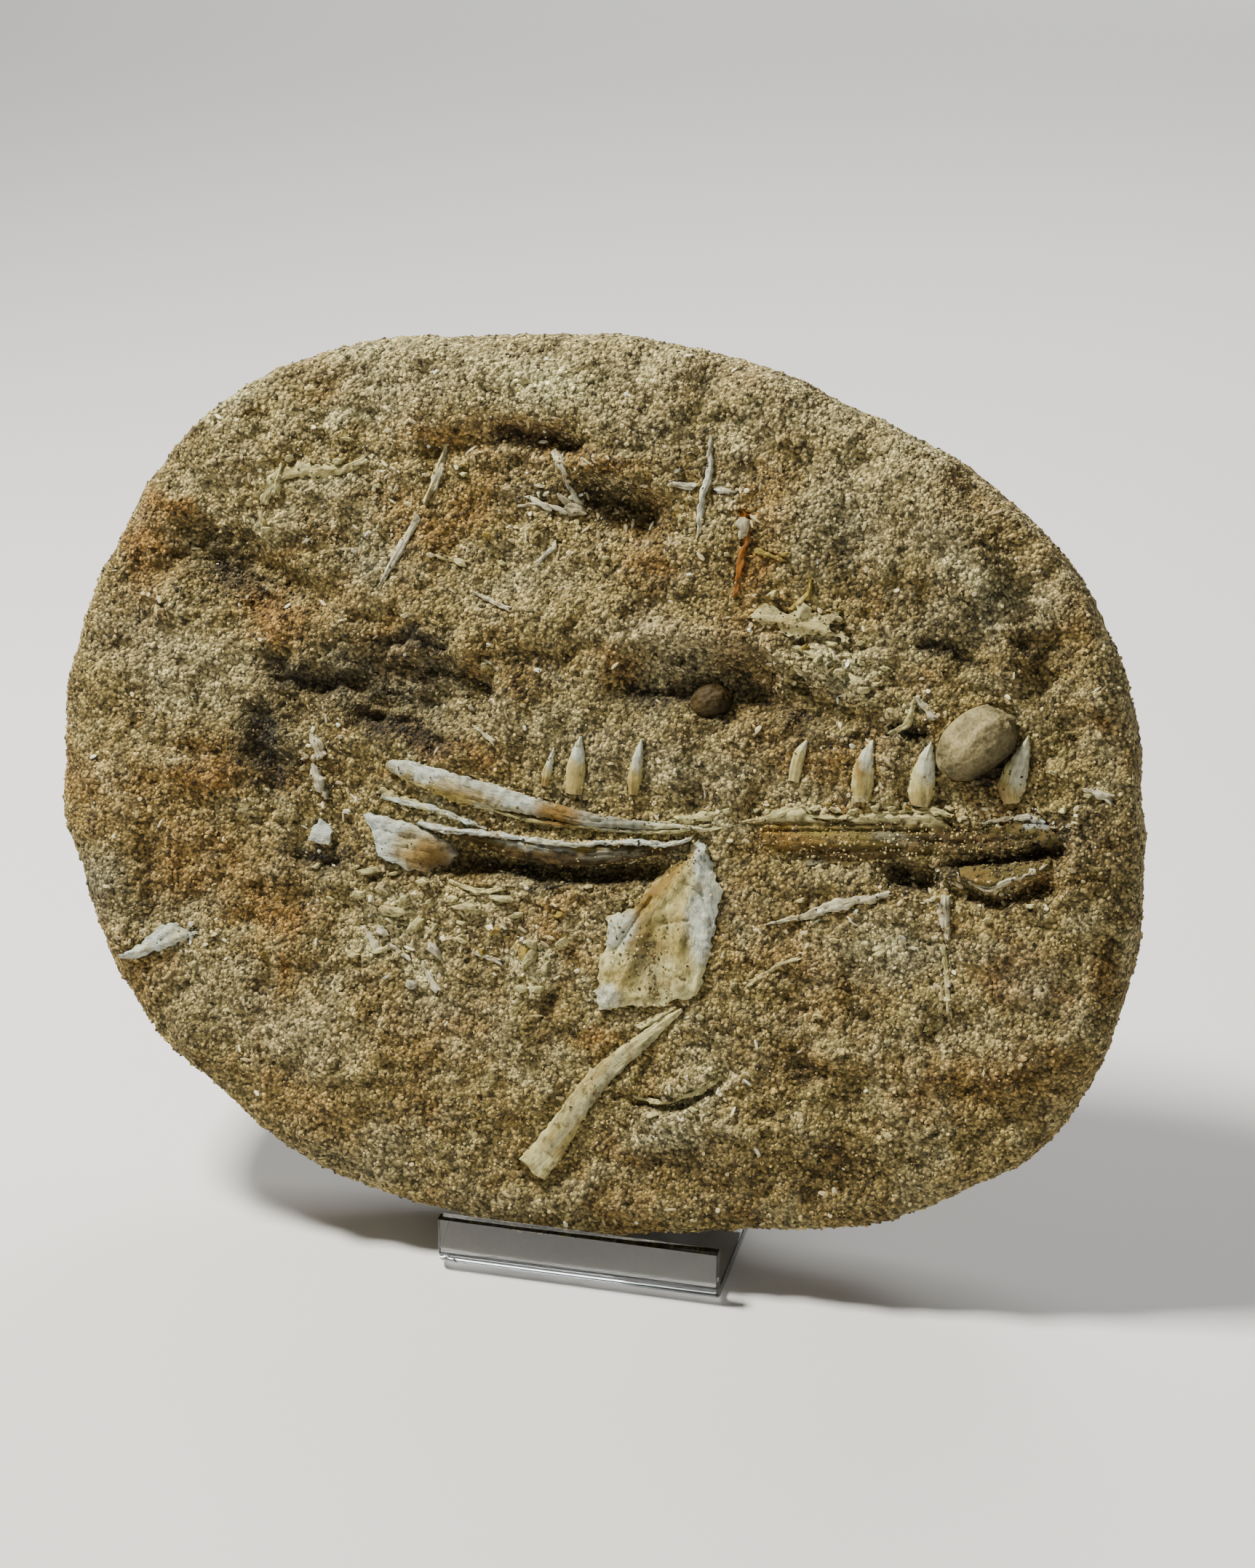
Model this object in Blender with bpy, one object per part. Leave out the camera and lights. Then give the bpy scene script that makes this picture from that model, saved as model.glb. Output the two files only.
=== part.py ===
"""Fossil jaw of a toothed fish with other fish bones, in a slab of sandy rock leaned on a clear stand.

Sizes are in millimetres and become metres when a mesh is made. The slab and everything set in it is
drawn on the slab's own face: u runs to the right, v runs up the face and w stands out of it. One
empty, slab_face, leans that face back on the stand.
"""

import math

import bmesh
import bpy
from mathutils import Euler, Vector, noise
from mathutils.geometry import delaunay_2d_cdt

MM = 0.001
GAP = 0.3  # beside a piece that lies in a pocket
BED = 0.6  # under it

# The slab: how far it leans back, the middle of its face, its thickness and the fineness of its faces
LEAN = math.radians(20)
FACE_CENTRE = Vector((6.33, -19.86, 107.35))
SLAB_THICK = 34.0
FACE_STEP = 5.9
BACK_STEP = 15.0
RIM_POINTS = 92
EDGE_BULGE = 1.3
RELIEF_FADE = 10.0  # depth down the edge at which the face's relief has died away
BACK_HOLLOW = 3.0

# The stand: one strip of sheet bent into a lip, a ledge, a leaning back plate and a rear leg
SHEET = 3.0
STAND_WIDTH = 64.5
STAND_MIDDLE = 8.63
LIP_HEIGHT = 13.0
LIP_FRONT = FACE_CENTRE.y - 36.6
BEND = 3.5
TOP_BEND = 5.0
BACK_PLATE_LENGTH = 92.88
LEG_LEAN = math.radians(20)

# Bones: depth below the rock, reach of the cut above it, and what a flat bone's top is made from
SINK = 2.2
CUT_TOP = 9.0
PLATE_STEP = 4.6
PLATE_SHOULDER = 2.5

# The rock's face: how steep the sides of an oval are, long swells, and small lumps by size and height
STEEPNESS = 1.8
SWELL_SIZE, SWELL_HEIGHT = 26, 1.7
LUMPS = ((11, 1.9), (6, 1.2))
CALM_REACH = 4.0
TRAIL_STEP = 4.5
TRAIL_FLANK = 1.5

# Outline of the slab where its front edge turns over, clockwise from the upper left
OUTLINE = (
    (-56, 97.7), (-29, 99.2), (0, 100.4), (27, 95.4), (49.5, 87.8), (72, 77.8), (89.5, 65.2),
    (104, 48.7), (113, 30.2), (118, 6.3), (120, -18), (117, -41), (106.5, -65.8), (91, -80.6),
    (67.5, -93), (41.5, -96.8), (14, -101.4), (-16, -103), (-43.5, -99.8), (-65.5, -93.4),
    (-83, -82), (-103.5, -68.6), (-114.5, -54), (-122.5, -38.5), (-130, -20.5), (-132.3, -2),
    (-132.3, 14.7), (-127, 34.2), (-116.5, 58), (-106, 73.6), (-96, 82), (-80, 91.3),
)

# Rings round the edge of the slab: how far inside the outline, and how deep below the face
EDGE = ((2.9, 1.4), (0.8, 4.0), (0.0, 9.0), (0.5, 18.0), (1.4, 26.0), (4.0, 32.0))
FACE_INSET = 6.5
BACK_INSET = 9.0

# Broad forms of the face: middle, half sizes, turn in degrees, height
OVALS = {
    "hollow_left": ((-48, 17), (19, 9), -6, -6.2),
    "hollow_left_upper": ((-60, 29.5), (11, 5.5), 12, -3.2),
    "hollow_upper_left": ((-94, 43), (14, 8), -38, -5.0),
    "hollow_upper_middle": ((-3, 60.5), (11, 7), -12, -5.4),
    "hollow_middle": ((23, 25), (20, 7), -4, -5.2),
    "hollow_by_teeth": ((55, 18), (12, 4.5), -16, -2.6),
    "pit_under_jaw": ((69, -14), (6, 3), -14, -4.2),
    "pit_by_plate": ((-28, -17.5), (6, 3.6), -10, -2.6),
    "low_left": ((-76, -26), (22, 15), 20, -2.0),
    "jaw_trough": ((15, -4), (92, 13), 3, -1.2),
    "swell_top": ((-20, 82), (46, 12), 4, 2.0),
    "swell_upper_right": ((72, 58), (20, 14), -38, 2.2),
    "swell_right": ((100, -30), (16, 26), 10, 1.8),
    "swell_lower_left": ((-58, -62), (38, 20), -18, 2.2),
    "swell_lower_right": ((56, -62), (44, 18), 10, 1.6),
    "swell_left": ((-112, 0), (14, 34), 4, 1.6),
    "swell_middle_left": ((-22, 33), (20, 8), 8, 1.6),
}

# Narrow forms: the points that they follow, half width, height
TRAILS = {
    "undercut_of_blade": (((-36, -21.5), (-22, -20.2), (-4, -20.2), (12, -17.8)), 2.6, -4.8),
    "slit_of_jaw": (((77, -10), (89, -7.6), (101, -5)), 1.5, -2.0),
    "undercut_of_shelf": (((80, -15.4), (88, -16.8), (98, -12.6)), 2.2, -3.0),
    "groove_of_right_margin": (((74, 74), (86, 56), (94, 38), (101, 22)), 5.0, -3.8),
    "ridge_beside_groove": (((64, 67), (74, 60), (84, 44), (88, 32)), 4.0, 1.8),
    "crack_by_spine": (((9, -68.5), (17, -70.4), (25, -68), (32, -62)), 1.7, -2.2),
    "overhang_of_top": (((-46, 70), (-30, 75.4), (-14, 73.6)), 2.6, -2.4),
    "scar_upper_left": (((-108, 64), (-94, 54), (-80, 40), (-70, 34)), 4.4, -2.8),
    "brow_of_left_hollow": (((-72, 31), (-54, 27), (-34, 27)), 3.4, 2.0),
    "brow_of_middle_hollow": (((2, 34), (24, 35), (46, 30)), 3.2, 1.8),
    "brow_of_upper_hollow": (((-14, 70), (-2, 70), (8, 67)), 3.0, 1.6),
    "arc_inner": (((46, -34), (68, -40), (92, -38), (104, -26)), 3.4, 1.2),
    "arc_outer": (((38, -50), (66, -56), (96, -54), (112, -38)), 3.8, 1.4),
}
TRAILS_DRAWN_FINE = ("undercut_of_blade", "slit_of_jaw", "undercut_of_shelf", "crack_by_spine")

# Bones with a lengthwise run: middle line, half width at each point, rise above the rock
RODS = {
    "jaw_front": (
        ((-50.6, -0.3), (-46.5, -1.0), (-40, -2.6), (-33, -4.2), (-24, -5.5), (-15.5, -6.7),
         (-4.5, -8.1), (5, -8.2), (11, -8.1), (17, -7.6), (23, -7.6)),
        (1.1, 2.3, 2.8, 3.2, 2.6, 1.9, 1.6, 1.1, 0.9, 0.5, 0.3), 2.6),
    "jaw_splint": (
        ((-52.5, -6.3), (-46, -8.3), (-39.5, -9.3), (-31.5, -11.3)), (0.9, 1.0, 0.9, 0.4), 0.9),
    "jaw_blade": (
        ((-35, -13.5), (-30.5, -14.7), (-25, -15.6), (-17, -16.2), (-8, -16.5), (0, -15.6),
         (8.5, -14), (15, -12.6), (19.4, -10.9)),
        (0.7, 1.3, 2.0, 2.3, 2.4, 2.3, 1.7, 1.0, 0.4), 2.4),
    "spine_bone": (
        ((-9.6, -87.3), (-5.7, -81.8), (-1.5, -74.5), (2.8, -67.1), (7.6, -61.5), (12.8, -56.4),
         (17.7, -51.4), (21.6, -48.0)),
        (3.8, 3.4, 2.9, 2.5, 2.2, 1.8, 1.2, 0.5), 2.0),
    "left_chip_upper": (((-69, 4.6), (-66.5, 0.4)), (0.9, 1.3), 1.6),
    "left_chip_middle": (((-68.2, -2.2), (-67, -6), (-64.6, -9.8)), (0.9, 1.6, 1.0), 1.8),
    "curved_crest": (
        ((-84.5, 55.8), (-82, 62), (-76, 64), (-68, 64.8), (-61.2, 67.8)),
        (0.9, 1.3, 1.5, 1.2, 0.6), 1.0),
    "fin_ray_long": (((-48, 55.6), (-52, 47.6), (-55.6, 39.9)), (0.9, 0.9, 0.4), 0.9),
    "fin_ray_short": (((-43.2, 72.2), (-43.9, 65), (-46.6, 59.4)), (0.4, 0.9, 0.5), 0.9),
    "starburst_ray_left": (((-23.5, 62.2), (-17.2, 59.8)), (0.4, 0.9), 0.8),
    "starburst_ray_upper": (((-18.2, 72.6), (-14, 67)), (0.9, 0.6), 0.8),
    "starburst_ray_lower": (((-15.4, 52.6), (-19.7, 47.5)), (0.8, 0.4), 0.8),
    "cross_upright": (
        ((17.4, 77.6), (17.5, 69.4), (16.4, 64.6), (16.4, 56.4)), (0.5, 0.9, 0.8, 0.5), 1.0),
    "cross_arm_left": (((9.3, 67.3), (14.6, 66.9)), (0.6, 0.8), 0.8),
    "cross_arm_right": (((19.6, 66.7), (24.4, 66.8)), (0.8, 0.4), 0.8),
    "rust_bone": (((26, 61.8), (27, 57.7), (26.3, 51.8), (25.4, 43.6)), (1.3, 0.9, 0.8, 0.5), 1.1),
    "rust_bone_branch": (((29.6, 54.3), (35.8, 52.6)), (0.7, 0.4), 0.7),
    "splinter_upper_a": (((-33.6, 39.8), (-25, 36.9)), (0.4, 0.6), 0.8),
    "splinter_upper_b": (((-42.8, 47.5), (-36, 46.2)), (0.6, 0.7), 0.8),
    "splinter_by_tooth": (((-31.6, 10.4), (-26.4, 7)), (0.4, 0.6), 0.8),
    "splinter_by_pebble": (((67.2, 25.6), (71.8, 21.2)), (0.7, 1.0), 0.9),
    "splinter_lower_a": (((-53.8, -37), (-49.6, -42.6)), (0.7, 1.0), 0.8),
    "splinter_lower_b": (((-47.2, -40.6), (-41.8, -43.6)), (0.5, 0.5), 0.7),
    "splinter_lower_c": (((-39.2, -43.8), (-34.4, -50.2)), (0.6, 1.0), 0.8),
    "splinter_lower_d": (((-26.8, -40.3), (-20.6, -41.8)), (0.5, 0.5), 0.7),
    "splinter_right": (
        ((39, -27), (46.3, -24.8), (53.5, -21.6), (61, -19.2), (64.8, -17.6)),
        (0.3, 0.8, 1.2, 1.0, 0.5), 1.4),
    "chip_right": (((76.4, -18.6), (77.8, -22.6)), (1.1, 0.8), 1.2),
    "thin_ray_right": (((77.8, -27.4), (79.4, -35), (80.8, -42.8)), (0.5, 0.6, 0.4), 0.6),
    "chip_at_edge": (((105.6, 8.8), (110.6, 7.4)), (0.7, 1.0), 1.0),
}

# Flat bones: outline, height of its edge and of its middle above the rock
PLATES = {
    "jaw_plate": (
        ((-55.3, -12), (-50.5, -11.9), (-45.4, -12.7), (-41.4, -13.6), (-37.7, -15.1), (-34.2, -17),
         (-33.7, -19), (-35.4, -21.3), (-39.4, -23.2), (-43.4, -23.1), (-47.4, -22.1),
         (-51.2, -21.2), (-52.6, -16.4)), 1.0, 2.0),
    "jaw_rear": (
        ((34, -5.4), (38.5, -3.4), (41.5, -1.8), (44.6, -0.8), (47, -2.8), (51, -3.6), (54.5, -2.8),
         (58, -1.2), (63, -0.6), (68, 0), (73, 0.4), (76, -1), (80, -2), (86, -1.2), (91, 0.4),
         (97, 0.8), (101, -1.2), (99.5, -3.2), (89.5, -5.6), (78, -7.9), (68, -9.7), (56, -12.1),
         (46, -13.3), (38.5, -11.4), (34, -8.2)), 0.5, 1.0),
    "shelf_bone": (
        ((79.6, -10.6), (86, -9.6), (93, -8.3), (99.4, -7), (99, -8.8), (95.8, -10.2),
         (90.5, -12), (86.7, -14), (83.4, -13.4), (80.5, -12.4)), 1.0, 1.4),
    "fan_bone": (
        ((21.4, -9.9), (24.4, -11.2), (25, -14.2), (26.4, -18.6), (28.4, -21), (27.7, -27),
         (27.3, -33.8), (25.5, -40.4), (25.2, -43.6), (22, -45.2), (16, -48), (8, -49.2),
         (2.8, -49.5), (1.2, -46), (2.4, -39), (3.4, -35), (3.1, -29.2), (9.8, -26), (12.6, -19.8),
         (19.4, -14.8)), 0.7, 1.5),
    "leaf_fragment": (
        ((-112, -50.4), (-105.5, -50.2), (-98, -46.1), (-92.4, -43), (-96.3, -42.2),
         (-98.6, -40.4), (-103.3, -43.8), (-107.2, -47.6)), 0.6, 1.2),
    "left_chip_lower": (
        ((-66, -14), (-62.6, -16.8), (-63.6, -19.8), (-67.8, -19.2), (-68.3, -16.2)), 0.9, 1.5),
    "branching_bone": (
        ((28.6, 40), (33, 42.2), (38, 41.6), (41, 44.4), (43, 42), (50.4, 41.6), (46.4, 39.2),
         (51.8, 36.2), (44, 37.2), (38, 35.8), (36, 38.4), (31, 38.6)), 0.5, 0.9),
}

# Teeth from left to right: middle line from root to tip, half widths, rise above the rock
TEETH = (
    (((-14.3, -1.7), (-13.8, 2), (-12.5, 7.2)), (0.9, 1.1, 0.15), 1.3),
    (((-7.4, -2.8), (-7.3, 2.5), (-7.0, 7), (-6.5, 10.1)), (1.9, 2.3, 1.4, 0.2), 1.9),
    (((6.4, -1.6), (6.5, 2), (6.8, 6.6), (7.5, 10.9)), (1.0, 1.7, 1.2, 0.2), 1.7),
    (((41.8, 4.6), (42.1, 7.6), (42.8, 11), (44.1, 13.8)), (1.2, 1.4, 1.4, 0.3), 1.0),
    (((57.3, 1.7), (57.2, 5), (57.3, 9), (57.8, 12.4), (58.5, 15.3)),
     (1.6, 2.6, 2.3, 1.4, 0.2), 2.0),
    (((70, 1.9), (70.1, 5), (70.3, 8.6), (70.8, 12.6), (71.6, 16.2)),
     (1.9, 3.0, 2.7, 1.8, 0.2), 2.2),
    (((90, 4.6), (89.6, 7.4), (90.2, 11.4), (91.4, 15.6), (92.3, 19.4)),
     (1.7, 3.0, 2.8, 1.5, 0.2), 2.2),
)

# Rounded stones in the face: middle, half sizes along, across and out of the face, turn, height
STONES = {
    "pebble": ((81.6, 16.9), (10.2, 7.0, 5.6), 43, 1.4),
    "small_nodule": ((21.7, 20.4), (5.0, 3.9, 3.2), 28, 0.8),
}

# Materials: colour, roughness, transmission
SURFACES = {
    "sandy_rock": ((0.30, 0.215, 0.115), 0.95, 0.0),
    "bone": ((0.62, 0.56, 0.43), 0.55, 0.0),
    "rust_stained_bone": ((0.45, 0.24, 0.10), 0.6, 0.0),
    "tooth_enamel": ((0.66, 0.58, 0.42), 0.3, 0.0),
    "smooth_stone": ((0.36, 0.30, 0.20), 0.6, 0.0),
    "clear_sheet": ((0.97, 0.98, 0.98), 0.03, 1.0),
}


def clear_scene():
    for item in list(bpy.data.objects):
        bpy.data.objects.remove(item, do_unlink=True)


def surface(name):
    """The material of that name, made once."""
    made = bpy.data.materials.get(name)
    if made:
        return made
    colour, roughness, clear = SURFACES[name]
    made = bpy.data.materials.new(name)
    made.use_nodes = True
    shader = made.node_tree.nodes["Principled BSDF"]
    shader.inputs["Base Color"].default_value = (*colour, 1)
    shader.inputs["Roughness"].default_value = roughness
    shader.inputs["Metallic"].default_value = 0.0
    shader.inputs["Transmission Weight"].default_value = clear
    return made


def distance_to_line(u, v, points):
    """How far (u, v) is from the nearest stretch of a line of points."""
    nearest = math.inf
    for (au, av), (bu, bv) in zip(points, points[1:]):
        du, dv = bu - au, bv - av
        share = ((u - au) * du + (v - av) * dv) / (du * du + dv * dv)
        share = min(1.0, max(0.0, share))
        nearest = min(nearest, math.hypot(u - au - share * du, v - av - share * dv))
    return nearest


def oval_height(u, v, middle, half, turn, height):
    """A flat-topped oval swell, or with a negative height a hollow with steep sides."""
    angle = math.radians(turn)
    du, dv = u - middle[0], v - middle[1]
    along = (du * math.cos(angle) + dv * math.sin(angle)) / half[0]
    across = (dv * math.cos(angle) - du * math.sin(angle)) / half[1]
    return height * math.exp(-((along * along + across * across) ** STEEPNESS))


def lumps(u, v, size, layer):
    return noise.noise(Vector((u / size, v / size, layer)))


def broad_height(u, v):
    """Height of the face's main forms above its mean plane. The bones follow it."""
    height = sum(oval_height(u, v, *oval) for oval in OVALS.values())
    for points, half, rise in TRAILS.values():
        height += rise * math.exp(-((distance_to_line(u, v, points) / half) ** 2))
    return height + SWELL_HEIGHT * lumps(u, v, SWELL_SIZE, 0.0)


def roughness_at(u, v):
    """From 0 on a bone to 1 at CALM_REACH from it: how much of the small lumps the rock has."""
    nearest = CALM_REACH
    for points, halves, _ in (*RODS.values(), *TEETH):
        nearest = min(nearest, distance_to_line(u, v, points) - max(halves))
    for outline, _, _ in PLATES.values():
        if inside(Vector((u, v)), [Vector(point) for point in outline]):
            return 0.0
        nearest = min(nearest, distance_to_line(u, v, (*outline, outline[0])))
    for middle, half, _, _ in STONES.values():
        nearest = min(nearest, math.dist((u, v), middle) - half[0])
    return max(0.0, nearest / CALM_REACH)


def face_height(u, v):
    """Height of the rock's face above its mean plane."""
    small = sum(rise * lumps(u, v, size, size) for size, rise in LUMPS)
    return broad_height(u, v) + roughness_at(u, v) * small


def closed_curve(points, count):
    """Evenly spaced points on the smooth closed curve through the given ones."""
    fine = []
    steps = 16
    for i in range(len(points)):
        a, b, c, d = (Vector(points[(i + k) % len(points)]) for k in (-1, 0, 1, 2))
        for step in range(steps):
            t = step / steps
            fine.append(0.5 * ((2 * b) + (c - a) * t + (2 * a - 5 * b + 4 * c - d) * t * t
                               + (3 * b - a - 3 * c + d) * t ** 3))
    lengths = [(fine[(i + 1) % len(fine)] - point).length for i, point in enumerate(fine)]
    stride = sum(lengths) / count
    placed, travelled, wanted = [], 0.0, 0.0
    for i, point in enumerate(fine):
        while wanted < travelled + lengths[i] and len(placed) < count:
            share = (wanted - travelled) / lengths[i]
            placed.append(point.lerp(fine[(i + 1) % len(fine)], share))
            wanted += stride
        travelled += lengths[i]
    return placed


def moved_out(loop, distance):
    """A closed 2-D loop of either winding with each of its sides moved out by the same distance."""
    area = sum(a.x * b.y - b.x * a.y for a, b in zip(loop, loop[1:] + loop[:1]))
    way = math.copysign(1, area)
    placed = []
    for i, point in enumerate(loop):
        before = (point - loop[i - 1]).normalized()
        after = (loop[(i + 1) % len(loop)] - point).normalized()
        square = Vector((before.y, -before.x)) * way
        corner = (square + Vector((after.y, -after.x)) * way).normalized()
        placed.append(point + corner * distance / max(0.35, corner.dot(square)))
    return placed


def filled(loop, inner):
    """Triangles over a closed loop with inner points. The loop keeps its place at the front."""
    points = list(loop) + list(inner)
    made = delaunay_2d_cdt(points, [], [list(range(len(loop)))], 1, 1e-4)
    first = {}
    for new, olds in enumerate(made[3]):
        first[new] = olds[0]
    triangles = [[first[corner] for corner in face] for face in made[2]]
    return points, triangles


def inside(point, loop):
    """Whether a point is within a closed loop."""
    odd = False
    for a, b in zip(loop, loop[1:] + loop[:1]):
        if (a.y > point.y) != (b.y > point.y):
            if point.x < a.x + (point.y - a.y) * (b.x - a.x) / (b.y - a.y):
                odd = not odd
    return odd


def lattice(loop, step, keep_off, seeds=()):
    """Staggered points inside a loop, shaken a little, clear of its edge and of the seed points."""
    closed = [tuple(point) for point in loop] + [tuple(loop[0])]
    low_u = min(point.x for point in loop)
    high_u = max(point.x for point in loop)
    low_v = min(point.y for point in loop)
    high_v = max(point.y for point in loop)
    placed = []
    row_step = step * math.sqrt(0.75)
    rows = int((high_v - low_v) / row_step) + 2
    columns = int((high_u - low_u) / step) + 2
    for row in range(rows):
        for column in range(columns):
            u = low_u + (column + 0.5 * (row % 2)) * step
            v = low_v + row * row_step
            shake = Vector((lumps(u, v, 3.1, 20.0), lumps(u, v, 3.1, 30.0)))
            point = Vector((u, v)) + 0.5 * step * shake
            if not inside(point, loop) or distance_to_line(point.x, point.y, closed) < keep_off:
                continue
            if all((point - seed).length > 0.6 * step for seed in seeds):
                placed.append(point)
    return placed


def trail_points():
    """Points along the bottom and both sides of the narrow forms, so that the face can follow them."""
    placed = []
    for name in TRAILS_DRAWN_FINE:
        points, half, _ = TRAILS[name]
        for a, b in zip(points, points[1:]):
            a, b = Vector(a), Vector(b)
            across = Vector((a.y - b.y, b.x - a.x)).normalized()
            count = max(1, round((b - a).length / TRAIL_STEP))
            for step in range(count):
                spot = a.lerp(b, (step + 0.5) / count)
                placed += [spot + across * side * TRAIL_FLANK * half for side in (-1, 0, 1)]
    return placed


def mesh_object(name, build, material, parent):
    """An object from a function that fills a bmesh in millimetres."""
    mesh = bpy.data.meshes.new(name)
    shape = bmesh.new()
    build(shape)
    bmesh.ops.scale(shape, vec=(MM, MM, MM), verts=shape.verts)
    bmesh.ops.recalc_face_normals(shape, faces=shape.faces)
    shape.to_mesh(mesh)
    shape.free()
    mesh.materials.append(surface(material))
    made = bpy.data.objects.new(name, mesh)
    bpy.context.scene.collection.objects.link(made)
    made.parent = parent
    return made


def bridge(shape, ring_a, ring_b):
    for i in range(len(ring_a)):
        j = (i + 1) % len(ring_a)
        shape.faces.new((ring_a[i], ring_a[j], ring_b[j], ring_b[i]))


def build_slab(shape):
    """Front face with its relief, rings round the edge, and a flatter back."""
    rim = closed_curve(OUTLINE, RIM_POINTS)

    front_loop = moved_out(rim, -FACE_INSET)
    seeds = trail_points()
    inner = seeds + lattice(front_loop, FACE_STEP, 0.6 * FACE_STEP, seeds)
    points, triangles = filled(front_loop, inner)
    front = [shape.verts.new((p.x, p.y, face_height(p.x, p.y))) for p in points]
    for triangle in triangles:
        shape.faces.new([front[i] for i in triangle])

    ring = front[:RIM_POINTS]
    for inset, depth in EDGE:
        relief = 1.0 - min(1.0, depth / RELIEF_FADE)
        placed = []
        for p in moved_out(rim, -inset):
            bulge = EDGE_BULGE * noise.noise(Vector((p.x, p.y, depth)) / 17)
            toward = Vector((p.x, p.y)).normalized() * bulge
            w = relief * face_height(p.x, p.y) - depth
            placed.append(shape.verts.new((p.x + toward.x, p.y + toward.y, w)))
        bridge(shape, ring, placed)
        ring = placed

    back_loop = moved_out(rim, -BACK_INSET)
    points, triangles = filled(back_loop, lattice(back_loop, BACK_STEP, 0.6 * BACK_STEP))
    back = []
    for p in points:
        hollow = BACK_HOLLOW * max(0.0, lumps(p.x, p.y, 24, 40.0))
        back.append(shape.verts.new((p.x, p.y, hollow - SLAB_THICK)))
    bridge(shape, ring, back[:RIM_POINTS])
    for triangle in triangles:
        shape.faces.new([back[i] for i in triangle])


def sections(points, halves):
    """Middle, sideways direction and half width at each point of a run."""
    placed = []
    for i, point in enumerate(points):
        before = Vector(points[max(0, i - 1)])
        after = Vector(points[min(len(points) - 1, i + 1)])
        along = (after - before).normalized()
        placed.append((Vector(point), Vector((-along.y, along.x)), along, halves[i]))
    return placed


def lofted(shape, rings):
    made = [[shape.verts.new(corner) for corner in ring] for ring in rings]
    for ring_a, ring_b in zip(made, made[1:]):
        bridge(shape, ring_a, ring_b)
    shape.faces.new(made[0])
    shape.faces.new(made[-1])


def build_rod(shape, points, halves, rise):
    """A bone with a rounded back along a run, its lower part sunk in the rock."""
    profile = ((-1, -SINK), (-1, 0.3 * rise), (-0.6, 0.85 * rise), (0, rise), (0.6, 0.85 * rise),
               (1, 0.3 * rise), (1, -SINK))
    rings = []
    for middle, across, _, half in sections(points, halves):
        taper = 0.45 + 0.55 * half / max(halves)  # a narrow end stands less high
        ring = []
        for side, height in profile:
            spot = middle + across * side * half
            lift = height * taper if height > 0 else height
            ring.append((spot.x, spot.y, broad_height(middle.x, middle.y) + lift))
        rings.append(ring)
    lofted(shape, rings)


def build_rod_cut(shape, points, halves, _rise):
    """The space that a rod needs in the rock."""
    run = sections(points, halves)
    rings = []
    for i, (middle, across, along, half) in enumerate(run):
        ends = (-GAP if i == 0 else 0) + (GAP if i == len(run) - 1 else 0)
        base = broad_height(middle.x, middle.y)
        ring = []
        for side, height in ((-1, -SINK - BED), (-1, CUT_TOP), (1, CUT_TOP), (1, -SINK - BED)):
            spot = middle + across * side * (half + GAP) + along * ends
            ring.append((spot.x, spot.y, base + height))
        rings.append(ring)
    lofted(shape, rings)


def build_slice(shape, outline, grow, top_height, bottom_height):
    """A slice along the rock's face: heights are functions of a point, grow widens its outline."""
    loop = [Vector(point) for point in outline]
    points, triangles = filled(loop, lattice(loop, PLATE_STEP, 0.35 * PLATE_STEP))
    wide = moved_out(loop, grow) + points[len(loop):]
    top, under = [], []
    for p, placed in zip(points, wide):
        base = broad_height(p.x, p.y)
        top.append(shape.verts.new((placed.x, placed.y, base + top_height(p))))
        under.append(shape.verts.new((placed.x, placed.y, base + bottom_height)))
    for triangle in triangles:
        shape.faces.new([top[i] for i in triangle])
        shape.faces.new([under[i] for i in reversed(triangle)])
    bridge(shape, top[:len(loop)], under[:len(loop)])


def build_plate(shape, outline, edge, middle):
    """A flat bone whose top swells from its edge to its middle."""
    closed = list(outline) + [outline[0]]

    def top_height(point):
        share = min(1.0, distance_to_line(point.x, point.y, closed) / PLATE_SHOULDER)
        return edge + (middle - edge) * share

    build_slice(shape, outline, 0.0, top_height, -SINK)


def build_plate_cut(shape, outline, _edge, _middle):
    """The space that a flat bone needs in the rock."""
    build_slice(shape, outline, GAP, lambda point: CUT_TOP, -SINK - BED)


def stone_builder(middle, half, turn, height, grow):
    """A function that makes a rounded stone, or with some growth the space for it."""
    def build(shape):
        bmesh.ops.create_uvsphere(shape, u_segments=14, v_segments=9, radius=1)
        size = [value + grow for value in half]
        bmesh.ops.scale(shape, vec=size, verts=shape.verts)
        spin = Euler((0, 0, math.radians(turn))).to_matrix()
        bmesh.ops.rotate(shape, cent=(0, 0, 0), matrix=spin, verts=shape.verts)
        lift = broad_height(*middle) + height
        bmesh.ops.translate(shape, vec=(*middle, lift), verts=shape.verts)
    return build


def set_in_slab(name, make, make_cut, sizes, material, slab, parent):
    """One bone and the pocket that holds it."""
    mesh_object(name, lambda shape: make(shape, *sizes), material, parent)
    cutter = mesh_object(name + "_space", lambda shape: make_cut(shape, *sizes), material, parent)
    pocket(slab, cutter)


def pocket(slab, cutter):
    cutter.hide_render = True
    cutter.display_type = "WIRE"
    cut = slab.modifiers.new(cutter.name, "BOOLEAN")
    cut.operation = "DIFFERENCE"
    cut.solver = "EXACT"
    cut.object = cutter


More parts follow.
